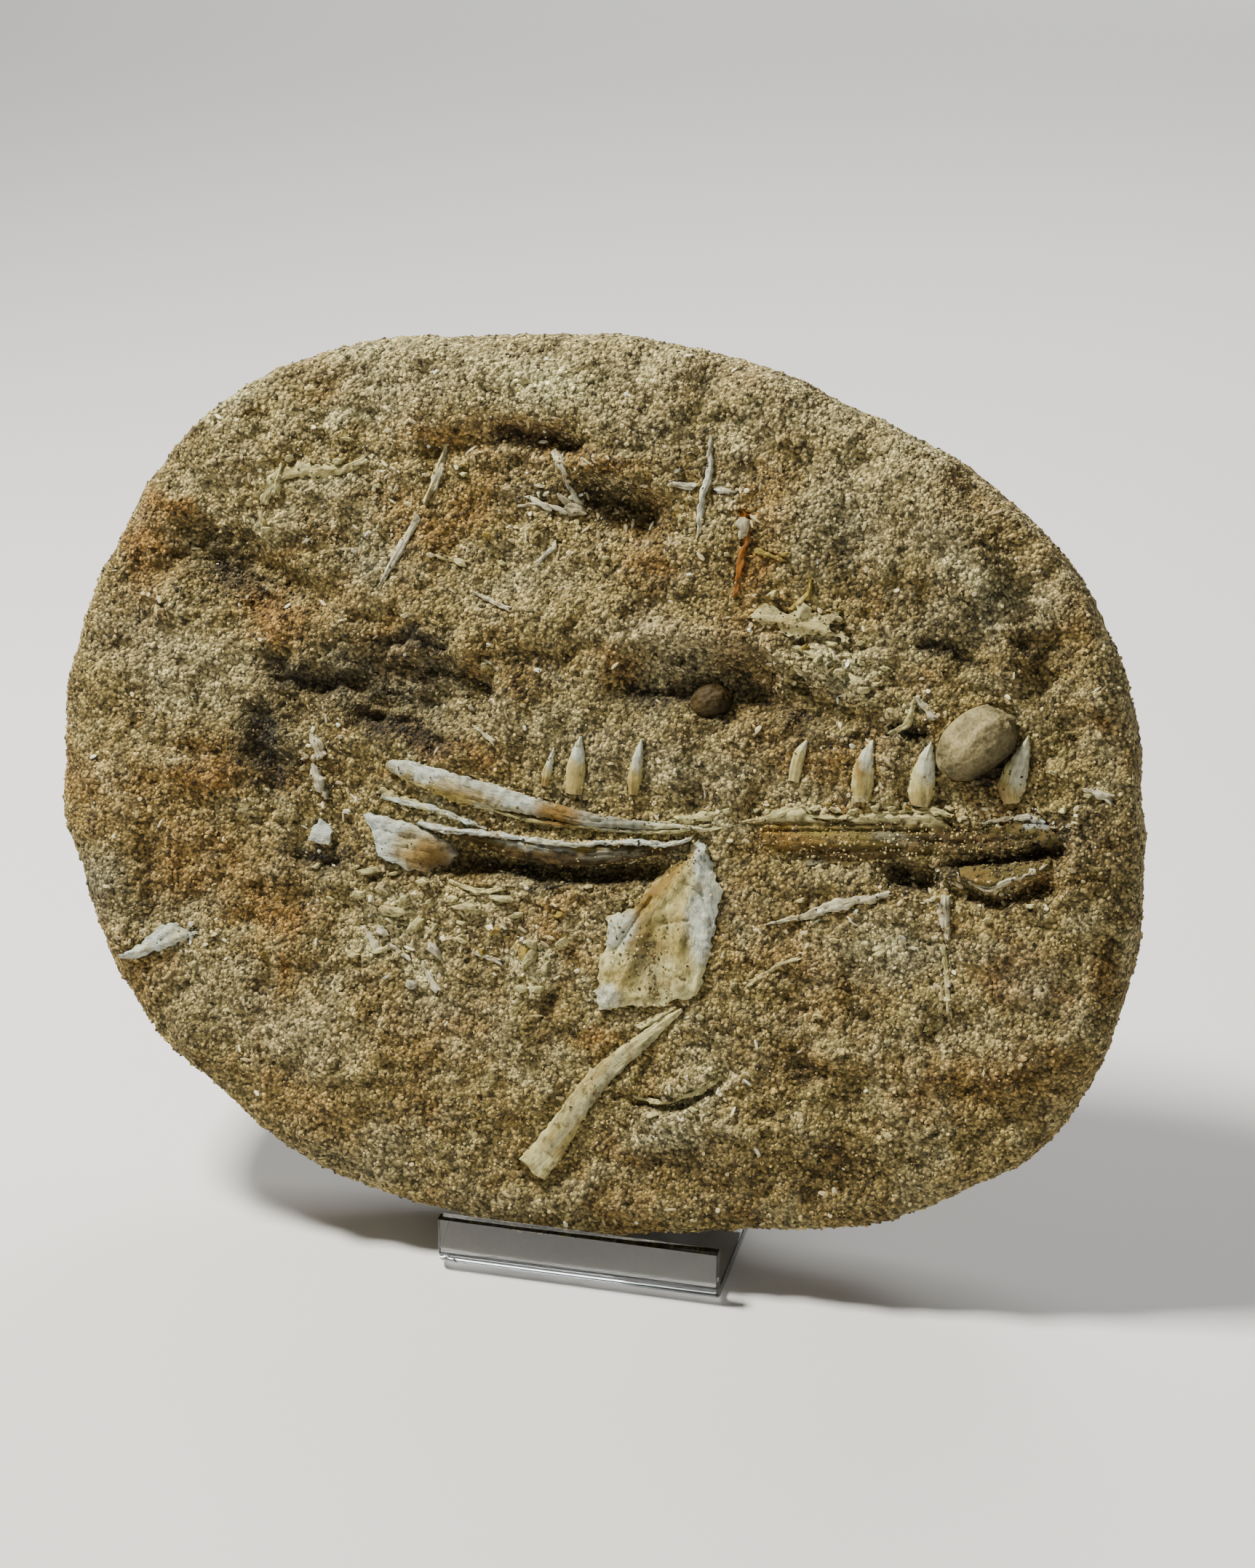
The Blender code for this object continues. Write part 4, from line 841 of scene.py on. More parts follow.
def nugget_tree():
    tree = bpy.data.node_groups.new("scatter_nuggets", "GeometryNodeTree")
    wanted = (("Stone", "NodeSocketGeometry"), ("Where", "NodeSocketString"),
              ("Per square metre", "NodeSocketFloat"), ("Smallest", "NodeSocketVector"),
              ("Largest", "NodeSocketVector"), ("Tilt", "NodeSocketVector"),
              ("Seed", "NodeSocketInt"), ("Finish", "NodeSocketMaterial"))
    for label, kind in wanted:
        tree.interface.new_socket(label, in_out="INPUT", socket_type=kind)
    tree.interface.new_socket("Nuggets", in_out="OUTPUT", socket_type="NodeSocketGeometry")
    given = add(tree, "NodeGroupInput").outputs
    bare = add(tree, "GeometryNodeInputNamedAttribute", {"Name": given["Where"]}, data_type="FLOAT")
    density = add(tree, "ShaderNodeMath", {0: given["Per square metre"], 1: bare.outputs["Attribute"]},
                  operation="MULTIPLY")
    spread = add(tree, "GeometryNodeDistributePointsOnFaces",
                 {"Mesh": given["Stone"], "Density": density.outputs[0], "Seed": given["Seed"]})
    tilt = add(tree, "FunctionNodeRandomValue", {"Max": given["Tilt"], "Seed": given["Seed"]},
               data_type="FLOAT_VECTOR")
    turn = add(tree, "FunctionNodeRotateRotation",
               {"Rotation": spread.outputs["Rotation"], "Rotate By": tilt.outputs["Value"]},
               rotation_space="LOCAL")
    size = add(tree, "FunctionNodeRandomValue",
               {"Min": given["Smallest"], "Max": given["Largest"], "Seed": given["Seed"]},
               data_type="FLOAT_VECTOR")
    nugget = add(tree, "GeometryNodeMeshIcoSphere", {"Radius": 1.0, "Subdivisions": 1})
    placed = add(tree, "GeometryNodeInstanceOnPoints",
                 {"Points": spread.outputs["Points"], "Instance": nugget.outputs["Mesh"],
                  "Rotation": turn.outputs[0], "Scale": size.outputs["Value"]})
    shade = add(tree, "FunctionNodeRandomValue", {"Seed": given["Seed"]}, data_type="FLOAT")
    marked = add(tree, "GeometryNodeStoreNamedAttribute",
                 {"Geometry": placed.outputs[0], "Name": "shade", "Value": shade.outputs[1]},
                 data_type="FLOAT", domain="INSTANCE")
    real = add(tree, "GeometryNodeRealizeInstances", {"Geometry": marked.outputs[0]})
    coated = add(tree, "GeometryNodeSetMaterial",
                 {"Geometry": real.outputs[0], "Material": given["Finish"]})
    add(tree, "NodeGroupOutput", {"Nuggets": coated.outputs[0]})
    return tree


def run_tree(name, base, tree, **inputs):
    """A plain mesh object from a geometry node tree run over a base object's data."""
    maker = bpy.data.objects.new(name + "_maker", base.data)
    bpy.context.scene.collection.objects.link(maker)
    modifier = maker.modifiers.new(tree.name, "NODES")
    modifier.node_group = tree
    sockets = {item.name.replace(" ", "_"): item.identifier for item in tree.interface.items_tree
               if item.item_type == "SOCKET" and item.in_out == "INPUT"}
    for label, value in inputs.items():
        modifier[sockets[label]] = value
    seen = maker.evaluated_get(bpy.context.evaluated_depsgraph_get())
    mesh = bpy.data.meshes.new_from_object(seen)
    mesh.name = name
    bpy.data.objects.remove(maker)
    made = bpy.data.objects.new(name, mesh)
    bpy.context.scene.collection.objects.link(made)
    print(name, "triangles:", sum(len(face.vertices) - 2 for face in mesh.polygons))
    return made


# %% Grain finish


def grain_finish():
    made, tree, shader = finish("sand_grains", Roughness=0.75, Specular_IOR_Level=0.4)
    tint = add(tree, "ShaderNodeAttribute", attribute_name="tint").outputs["Color"]
    own = add(tree, "ShaderNodeAttribute", attribute_name="shade").outputs["Fac"]
    shade = ramp(tree, own, ((0.0, 0.04), (0.3, 0.14), (0.6, 0.36), (0.85, 0.70), (1.0, 1.0)))
    colour = blend_of(tree, "MULTIPLY", 1.0, tint, shade)
    node = add(tree, "ShaderNodeVectorMath", {0: colour}, operation="SCALE")
    node.inputs["Scale"].default_value = 2.0
    tree.links.new(node.outputs[0], shader.inputs["Base Color"])
    return made


grains_look = grain_finish()
nuggets = nugget_tree()
EVERY_WAY = (6.283, 6.283, 6.283)
for name, count, low, high, seed in (
        ("grains_coarse", 90000, 0.00028, 0.00062, 11),
        ("grains_middle", 112000, 0.00020, 0.00046, 23),
        ("grains_fine", 98000, 0.00016, 0.00036, 37)):
    grains = run_tree(name, slab_stone, nuggets, Where="bare", Per_square_metre=count,
                      Smallest=(low,) * 3, Largest=(high,) * 3, Tilt=EVERY_WAY, Seed=seed,
                      Finish=grains_look)
    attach(grains, "root")

# %% [markdown]
# ## Bone
# Fossil bone is dense, with a faint gloss: a strong one would whiten its dark and amber stains. Bone dust
# left it bluish white, iron turned parts of it honey, amber or umber, and fine fibres and cracks run along
# it. The finish follows each bone by its own attribute fibre, which holds the way along and across it, so
# the fibres bend with the bone. The colours come from the same kind of ovals as in the sand.

# %% Stains on the bones: middle, half sizes, turn, strength
COLOURS.update({
    "blue_white": (0.67, 0.73, 0.62), "ivory": (0.69, 0.625, 0.285), "chalk": (0.74, 0.69, 0.47),
    "honey": (0.40, 0.295, 0.060),
    "amber": (0.26, 0.152, 0.032), "umber": (0.055, 0.034, 0.009), "slate": (0.26, 0.26, 0.18),
    "olive": (0.135, 0.105, 0.028), "red_brown": (0.33, 0.115, 0.016),
})
BONE_STAINS = {
    "honey": (
        ((17, -25), (4.6, 7), -20, 0.4), ((21, -34), (2.4, 8), 6, 0.55), ((8, -42), (4, 3), 0, 0.5),
        ((70.6, 6), (2.6, 3), 0, 0.5), ((57, 6), (2.4, 4), 0, 0.5), ((-6.8, 2), (2.6, 4), 0, 0.5),
        ((7, 2), (2, 4), 0, 0.6), ((-13.6, 1), (1.8, 3), 0, 0.4), ((-74, 63), (9, 2), 6, 0.3),
        ((-46, -1.8), (2, 2.4), 0, 0.4), ((-38, -5.6), (6, 1.2), -14, 0.7),
        ((-22, -16), (12, 1.4), -2, 0.2), ((-4, -80), (3, 5), -30, 0.6), ((-32, -4.5), (9, 2.2), -12, 0.55),
        ((88, 5), (3, 4), 0, 0.6), ((90, 10), (3, 6), 0, 0.4), ((70.4, 4), (3, 2), 0, 0.25),
        ((-51, -1.6), (2.6, 2.2), 0, 0.7), ((-46, -3.4), (4.5, 1.3), -10, 0.7),
        ((-35, -5.8), (8, 1.5), -12, 0.9),
        ((-23, -7.6), (6, 1.0), -8, 0.6), ((-42, -18.5), (6, 5), 0, 0.75), ((15, -21), (9, 2.6), 50, 0.8),
        ((12, -29), (5, 5), 40, 0.4), ((16, -34), (6, 4), 0, 0.5), ((1.5, -78), (2.4, 7), -28, 0.5),
        ((52, -7), (15, 2.2), -3, 0.5), ((70, 2.6), (3.4, 2.4), 0, 0.4), ((58, 4), (3, 2), 0, 0.6),
        ((-14, -1), (1.6, 1.6), 0, 0.7), ((-7.6, 0), (3, 3.4), 0, 0.55), ((6.4, 0.5), (2, 3), 0, 0.7),
        ((9, -44), (7, 4), 0, 0.35), ((56.4, 9), (1.6, 2.6), 0, 0.6), ((43, 8), (2, 4), 0, 0.5),
        ((-10, -14.6), (12, 1.0), 0, 0.4), ((0, -66), (14, 3), 54, 0.4), ((41, 39), (6, 1.6), 0, 0.4),
        ((22, -14), (3, 4), -30, 0.15), ((-97, -44), (3, 2), 0, 0.4),
    ),
    "amber": (
        ((-31, -4.8), (7, 1.3), -12, 0.45), ((15.5, -19.5), (9, 1.5), 52, 0.75), ((11, -30), (3, 4), 0, 0.5),
        ((18, -41), (3, 2), 0, 0.4),
        ((70, 3), (2.6, 2.4), 0, 0.35), ((88.4, 6.4), (2.4, 3.4), 0, 0.4), ((56.6, 8), (1.2, 3), 0, 0.6),
        ((-14.6, -1.4), (1.6, 1.6), 0, 0.6), ((6.4, -1), (1.6, 1.6), 0, 0.5),
        ((-7.6, -2.2), (2, 1.6), 0, 0.5),
        ((-1, -84), (3, 3), -30, 0.5), ((4, -64), (1.2, 6), -36, 0.4), ((-24, -13.4), (1.6, 0.7), 0, 0.6),
        ((4, -13), (2, 0.7), 0, 0.5), ((-46, -20), (4, 1.4), -8, 0.6), ((-36, -17), (2, 2), 0, 0.6),
        ((-84, 52), (2, 3), 0, 0.4), ((34, 40), (3, 2), 0, 0.3), ((-110, -51), (2, 1.4), 0, 0.4),
        ((-39, -20), (5.2, 4.2), 10, 0.9), ((-10, -7.8), (7.2, 3.6), -6, 1.0), ((36, -7), (7, 5), 0, 0.6),
        ((50, -9.6), (9, 1.6), -4, 0.6), ((84, -12), (4, 2), 0, 0.5), ((40, -8), (7, 2.4), -6, 0.6),
        ((44, -8.6), (10, 2.2), -4, 0.75),
        ((87.6, 6), (1.9, 3), 0, 0.5), ((69, 1.6), (1.6, 1.4), 0, 0.35), ((56, 8.6), (0.9, 1.4), 0, 0.7),
        ((12, -24), (1.6, 6), -38, 0.5), ((-28, -12), (2, 1), 0, 0.5), ((82, -3), (9, 1.4), 0, 0.3),
        ((47, -26.6), (5, 0.5), 20, 0.4), ((10, -34), (3, 3), 0, 0.4),
    ),
    "umber": (
        ((-30, -9), (1.5, 0.6), 0, 0.4), ((60, -9), (14, 1.4), 2, 0.7), ((72, -4.4), (8, 1.0), 4, 0.5),
        ((47, -11.6), (8, 1.2), -4, 0.6), ((40, -4.6), (5, 0.6), 8, 0.5),
        ((-24, -18.0), (11, 1.9), 0, 1.0), ((-6, -18.2), (12, 1.9), 2, 1.0), ((9, -15.6), (8, 1.2), 14, 0.7),
        ((12, -36.6), (4.6, 5.4), 10, 0.5), ((15.6, -44.6), (2.4, 2.6), 0, 0.6),
        ((53, -10.6), (10, 1.2), -5, 0.6),
        ((80, -4.2), (11, 2.8), 3, 0.85), ((66, -8), (8, 1.2), 0, 0.4), ((-30, -17), (3, 2), 0, 0.7),
        ((4, -58), (2.4, 1.6), 30, 0.6), ((90, -3.4), (9, 1.2), 6, 0.6), ((78, -20), (1.4, 2), 0, 0.5),
        ((60, -6.4), (26, 0.6), 4, 0.5), ((56, -3.4), (20, 0.5), 4, 0.5), ((12, -29), (1.2, 4), -30, 0.5),
    ),
    "slate": (
        ((6.4, -66.6), (1.2, 9), -38, 0.6), ((-2.6, -78), (1.0, 7), -36, 0.5),
        ((14, -57), (1.0, 5), -40, 0.5),
        ((25.4, -33), (1.2, 5), 0, 0.4), ((-50, -18), (4, 0.7), -10, 0.5), ((-51, -15.2), (5, 0.9), -14, 0.5),
        ((-29, -2.6), (7, 0.9), -14, 0.4),
        ((3, -8.2), (9, 3), 0, 0.9), ((2, -15.4), (7, 1.2), 8, 0.6), ((-64.9, -7.6), (1.4, 2.2), 0, 0.7),
        ((51, -13.4), (5, 0.8), -6, 0.6), ((2, -70), (0.9, 8), -36, 0.35), ((-5, -82), (0.8, 7), -36, 0.4),
        ((9, -60), (0.8, 6), -40, 0.35), ((65, -5.4), (5, 1.2), -4, 0.5),
    ),
    "blue_white": (
        ((23.6, -13.6), (2.4, 5), 10, 0.85), ((-15, -15.3), (9, 0.7), -2, 0.5), ((17, 67), (4, 9), 0, 0.5),
        ((25.6, -27), (4.4, 10), 4, 0.85), ((6, -32), (3.4, 5), -30, 0.7), ((4, -47), (4, 3), 0, 0.6),
        ((-52.6, -17), (4.4, 6), 0, 0.6), ((-12.4, 5), (1.6, 4), 0, 0.6), ((-6.6, 8), (2, 4), 0, 0.7),
        ((7.2, 8), (2, 4), 0, 0.7), ((58.4, 12.6), (2, 4), 0, 0.55), ((71.4, 12), (2.4, 5), 0, 0.6),
        ((91.4, 13), (2.2, 6), 0, 0.5), ((24, -15), (2, 5), 0, 0.5), ((96, 0.8), (3, 1.2), 0, 0.8),
        ((44, 14), (1.4, 2), 0, 0.4),
    ),
    "ivory": (
        ((57, -1.6), (17, 1.2), 4, 0.9), ((41, -3), (7, 1.2), 16, 0.8), ((70, 0.4), (5, 1), 0, 0.8),
        ((42, -2), (5, 1.4), 20, 0.7), ((62, -0.8), (10, 1.0), 2, 0.8), ((22, -44), (6, 3.6), 0, 0.6),
        ((17, -8), (8, 1.2), 4, 0.7), ((72, -1), (5, 1), 0, 0.4),
    ),
}


PALE_FROM = 0.1  # least red, green or blue of a bone that counts as pale
CLOUDS_ON_PALE, CLOUDS_ON_DARK = 0.6, 0.1
STAIN_EDGE = 2.6  # how sharply a stain ends


def bone_colours(spots, base):
    """Colour of bone at each place in slab millimetres."""
    u = spots[:, 0] + 0.9 * lumps(spots[:, 0], spots[:, 1], 2.1, 70.0)
    v = spots[:, 1] + 0.9 * lumps(spots[:, 0], spots[:, 1], 2.1, 71.0)
    colour = np.tile(COLOURS[base], (len(spots), 1))
    clouds = CLOUDS_ON_PALE if min(COLOURS[base]) > PALE_FROM else CLOUDS_ON_DARK
    cloudy = np.clip(1.3 * lumps(u, v, 4.5, 75.0), -0.6, 0.6)[:, None]
    colour += np.where(cloudy > 0, np.array(COLOURS["honey"]) - colour, np.array(COLOURS["ivory"]) - colour) \
        * np.abs(cloudy) * clouds
    for name, ovals in BONE_STAINS.items():
        for middle, half, turn, strength in ovals:
            share = strength * in_oval(u, v, middle, half, turn, STAIN_EDGE)
            colour += (np.array(COLOURS[name]) - colour) * share[:, None]
    return np.column_stack((colour, np.ones(len(spots))))


# %% Bone finish


DRY_SAND = (0.20, 0.125, 0.045, 1)


def bone_finish(name, roughness, shine, fibre_depth, dirt):
    made, tree, shader = finish(name, Roughness=roughness, Specular_IOR_Level=shine)
    tint = add(tree, "ShaderNodeAttribute", attribute_name="tint").outputs["Color"]
    fibre = add(tree, "ShaderNodeAttribute", attribute_name="fibre").outputs["Vector"]
    place = add(tree, "ShaderNodeTexCoord").outputs["Object"]
    strands = add(tree, "ShaderNodeTexNoise", {"Vector": fibre, "Scale": 3.0, "Detail": 5.0,
                                               "Roughness": 0.7})
    mottle = add(tree, "ShaderNodeTexNoise", {"Vector": place, "Scale": 700.0, "Detail": 4.0})
    dusting = add(tree, "ShaderNodeTexNoise", {"Vector": place, "Scale": 330.0, "Detail": 8.0,
                                               "Roughness": 0.75})
    cracks = add(tree, "ShaderNodeTexVoronoi", {"Vector": fibre, "Scale": 0.9},
                 feature="DISTANCE_TO_EDGE")
    streak = ramp(tree, strands.outputs["Fac"], ((0.30, 0.30), (0.46, 0.80), (0.62, 1.0)))
    speck = ramp(tree, mottle.outputs["Fac"], ((0.30, 1.0 - dirt), (0.46, 0.90), (0.60, 1.0)))
    line = ramp(tree, cracks.outputs["Distance"], ((0.0, 0.25), (0.035, 1.0)))
    sandy = ramp(tree, dusting.outputs["Fac"], ((0.52, 0.0), (0.62, dirt)))
    colour = blend_of(tree, "MULTIPLY", 0.8, tint, streak)
    colour = blend_of(tree, "MULTIPLY", 1.0, colour, speck)
    colour = blend_of(tree, "MULTIPLY", 0.6, colour, line)
    colour = blend_of(tree, "MIX", sandy, colour, DRY_SAND)
    tree.links.new(colour, shader.inputs["Base Color"])
    height = reckon(tree, "MULTIPLY_ADD", mottle.outputs["Fac"], 0.2, strands.outputs["Fac"])
    bump = add(tree, "ShaderNodeBump", {"Height": height, "Strength": 0.8, "Distance": fibre_depth})
    tree.links.new(bump.outputs[0], shader.inputs["Normal"])
    return made


bone_look = bone_finish("fossil_bone", 0.5, 0.12, 0.0006, 0.6)
enamel_look = bone_finish("tooth_enamel", 0.26, 0.35, 0.0002, 0.35)
rust_look = bone_finish("rust_stained_bone", 0.55, 0.12, 0.0006, 0.6)

# %% [markdown]
# ### Long bones and teeth
# A long bone is a rounded back that follows a run and narrows to its ends. Each is a tube of rings along a
# smooth curve through the run's points: one side of every ring lies in the rock. A curve object with a bevel
# would give a round section everywhere, but these are flat underneath and their ends are broken, not round.

# %% A bone along a run
SINK = 2.2
bones = []


def stations(points, halves, step):
    """Middle, direction and half width at even steps along a run."""
    points = np.asarray(points, float)
    run = np.concatenate(([0], np.cumsum(np.linalg.norm(np.diff(points, axis=0), axis=1))))
    count = max(6, int(run[-1] / step))
    middles = smooth_through(points, False, count)
    along = np.gradient(middles, axis=0)
    along /= np.linalg.norm(along, axis=1)[:, None]
    way = np.linspace(0, run[-1], count)
    return middles, along, np.interp(way, run, halves), way


def run_bone(name, points, halves, rise, look, base, ragged=0.10, broken=0.5, fullness=0.65,
             buried=0.0, seed=0.0):
    """A bone's tube of rings, with fibres, a ragged edge and broken ends. Buried lets parts dive under sand."""
    middles, along, half, way = stations(points, halves, 0.4)
    across = np.stack((-along[:, 1], along[:, 0]), 1)
    bow = np.linspace(math.pi, 0, 15)
    sides = np.concatenate((np.cos(bow), (0.96, 0.8, -0.8, -0.96)))
    lifts = np.concatenate((np.sin(bow) ** fullness, (-1, -1, -1, -1)))
    taper = 0.45 + 0.55 * half / max(halves)
    ground = broad_height(*middles.T)
    ring = len(sides)
    spots, fibres = [], []
    for i, (spot, width) in enumerate(zip(middles, half)):
        wobble = np.array([noise.noise((way[i] / 1.5, side * 1.3, seed)) for side in sides])
        strand = np.array([noise.noise((way[i] / 9, side * width * 2.1, seed + 5)) for side in sides])
        drift = buried * (0.5 + noise.noise((way[i] / 3.0, 4.4, seed)) * 1.8)
        width = width * (1 + ragged * 2 * wobble)
        end = min(i, len(middles) - 1 - i)
        jag = broken * wobble * (2.2 if end == 0 else 1.0 if end == 1 else 0)
        where = spot + across[i] * (sides * width)[:, None] + along[i] * jag[:, None]
        lift = (lifts * rise * taper[i] * (1 + (0.06 + ragged) * wobble) + 0.35 * strand * min(1, rise)
                - drift * rise)
        lift = np.where(lifts >= 0, lift - 0.12, -SINK)
        spots.append(np.column_stack((where, ground[i] + lift)))
        fibres.append(np.column_stack((np.full(ring, way[i] * 0.12), sides * width * 0.9,
                                       lift * 0.9, np.ones(ring))))
    faces = [list(range(ring))[::-1], [ring * (len(middles) - 1) + k for k in range(ring)]]
    for i in range(len(middles) - 1):
        for k in range(ring):
            a, b = i * ring + k, i * ring + (k + 1) % ring
            faces.append((a, b, b + ring, a + ring))
    spots = np.vstack(spots)
    above = spots[:, 2] - np.repeat(ground, ring)
    made = piece(name, spots, faces, look, tint=bone_colours(spots, base), fibre=np.vstack(fibres),
                 bare=sand_share(spots, above / max(rise, 0.5)))
    bones.append(made)
    return turned_out(made)


STILL_SANDY = (
    ((60, -9), (34, 4.2), 4, 1.0), ((86, -3.6), (16, 3.4), 6, 1.0), ((34, -6), (5, 6), 0, 0.7),
    ((12, -37), (4.6, 5.6), 10, 0.9), ((16, -45), (3, 3), 0, 0.9), ((-8, -11.6), (30, 1.2), -3, 0.4),
    ((6, -30), (2, 4), -30, 0.4), ((-48, 0), (6, 3), 0, 0.3), ((14, -15.6), (8, 2.4), 0, 0.8),
    ((90, -10.2), (9, 1.5), 14, 1.0), ((40, 39), (12, 3), 0, 0.4), ((-76, 62), (12, 5), 10, 0.05),
)


def sand_share(spots, above):
    """How thickly sand still clings to a bone: at its foot, in patches, and where it was never cleaned."""
    u, v = spots[:, :2].T
    patches = np.clip(2.4 * lumps(u, v, 3.0, 76.0) - 0.35, 0, 1)
    foot = np.clip(1 - above / 0.4, 0, 1)
    left = sum(strength * in_oval(u, v, middle, half, turn, 1.4)
               for middle, half, turn, strength in STILL_SANDY)
    return np.clip(0.02 + foot + 0.35 * patches + left, 0, 1) * (above > -0.3)


def turned_out(made):
    """Its faces turned outwards, and its sharp edges kept sharp."""
    shape = bmesh.new()
    shape.from_mesh(made.data)
    bmesh.ops.recalc_face_normals(shape, faces=shape.faces)
    shape.to_mesh(made.data)
    shape.free()
    made.data.set_sharp_from_angle(angle=math.radians(50))
    return made


def stands_for(made, node):
    """The piece takes a solid's place."""
    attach(made, "root")
    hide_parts(node)


RUN_BASES = {"jaw_front": "blue_white", "jaw_splint": "ivory", "jaw_blade": "umber",
             "spine_bone": "ivory", "rust_bone": "red_brown", "rust_bone_branch": "honey",
             "curved_crest": "ivory", "splinter_upper_b": "ivory", "thin_ray_right": "ivory"}
for number, (name, (points, halves, rise)) in enumerate(RODS.items()):
    rusty = name.startswith("rust")
    small = max(halves) < 1.7
    bone = run_bone(name.replace("_bone", "") + "_fossil", points, halves, rise,
                    rust_look if rusty else bone_look, RUN_BASES.get(name, "chalk"),
                    ragged=0.36 if small else 0.08, broken=0.8 if small else 0.45,
                    fullness=0.8 if small else 0.6,
                    buried=0.1 if name == "curved_crest" else 0.3 if small else 0.0, seed=number * 3.7)
    stands_for(bone, name)
for number, (points, halves, rise) in enumerate(TEETH, 1):
    tooth = run_bone(f"tooth_{number}_enamel", points, halves, rise, enamel_look, "ivory",
                     ragged=0.03, broken=0.1, fullness=0.85, seed=number * 5.1)
    stands_for(tooth, f"tooth_{number}")
print("bones along runs:", len(RODS), "teeth:", len(TEETH))

# %% [markdown]
# ### Flat bones
# A flat bone is a net of triangles over its outline, pushed down to an underside. Ridges, grooves and cracks
# are runs with a half width and a height, in the same way as the rock's trails, and they are named by bone.

# %% Forms on the flat bones: points, half width, height
PLATE_FORMS = {
    "fan_bone": (
        (((24, -12), (21, -24), (20, -36), (21, -46)), 1.6, 0.9),
        (((23, -13), (14, -26), (9, -40), (5, -48)), 1.2, 0.7),
        (((12.8, -24), (9, -30), (5.3, -36.4)), 0.5, -0.9),
        (((20.1, -19.7), (24, -22), (26.9, -28.1)), 0.35, -0.7),
        (((15.3, -29.4), (21.3, -28)), 0.4, -0.5), (((18, -16), (16, -24), (17, -32)), 0.5, -0.5),
        (((25.6, -20), (26, -34), (24.6, -43)), 1.0, 0.5), (((12, -36.6), (13, -40)), 3.4, -0.9),
        (((15.6, -44), (15.8, -46)), 1.6, -0.8), (((3, -45), (12, -46)), 0.9, 0.4),
        (((14, -38), (22, -41)), 0.35, -0.5),
    ),
    "jaw_rear": (
        (((36.2, -6.8), (50, -5.4), (62, -4.2), (73.1, -3.2)), 0.4, -0.9),
        (((34.5, -5.4), (50, -4.4), (66, -2.3)), 0.35, -0.6),
        (((40, -10.6), (54, -9.4), (68, -7.4)), 0.45, -0.6), (((66, -5.6), (80, -5.2), (96, -2)), 0.7, -0.8),
        (((42, -8.4), (56, -7.4)), 0.9, 0.35), (((60, -6), (74, -5)), 0.8, 0.35),
        (((76, -3), (90, -2)), 0.8, -0.7), (((84, -6.6), (99, -3.6)), 0.5, 0.5),
        (((50, -2.7), (60, -1.4), (72, -0.3)), 0.6, 0.6), (((39, -3.4), (45, -1.8)), 0.6, 0.5),
        (((32, -12), (46, -12.4), (60, -11), (74, -8.6)), 2.2, -1.1), (((31, -4), (34, -9)), 2.6, -0.9),
    ),
    "jaw_plate": (
        (((-54, -12.6), (-48, -13), (-42, -14.2), (-38, -15.8)), 0.9, 0.7),
        (((-52, -15), (-44, -16), (-38, -17)), 0.4, -0.35),
        (((-52, -18), (-44, -18.6), (-37, -19)), 0.4, -0.35),
        (((-50, -20.4), (-43, -21.4), (-38, -21.8)), 0.35, -0.3),
        (((-48, -16), (-40, -18)), 1.6, -0.4),
    ),
    "shelf_bone": ((((82, -12.6), (87, -13.2), (92, -11.4), (97, -9.4)), 0.8, 0.8),),
    "leaf_fragment": ((((-111, -50), (-103, -47.4), (-96, -44)), 0.7, 0.8),
                      (((-104, -47), (-99, -42.4)), 0.5, 0.5)),
    "branching_bone": ((((29, 39.6), (38, 39), (50, 38)), 0.9, 0.7), (((40, 40), (42, 43.6)), 0.6, 0.5)),
}
PLATE_BASES = {"shelf_bone": "olive", "jaw_rear": "olive", "fan_bone": "ivory", "branching_bone": "ivory"}
RAGGED = {"jaw_rear": 1.0, "fan_bone": 0.8, "branching_bone": 1.3, "leaf_fragment": 1.0}


def crosses_itself(loop):
    """Whether a closed loop cuts itself: then the net over it needs points that it doesn't have."""
    made = delaunay_2d_cdt([Vector(p) for p in loop], [], [list(range(len(loop)))], 1, 1e-4)
    return not all(made[3])


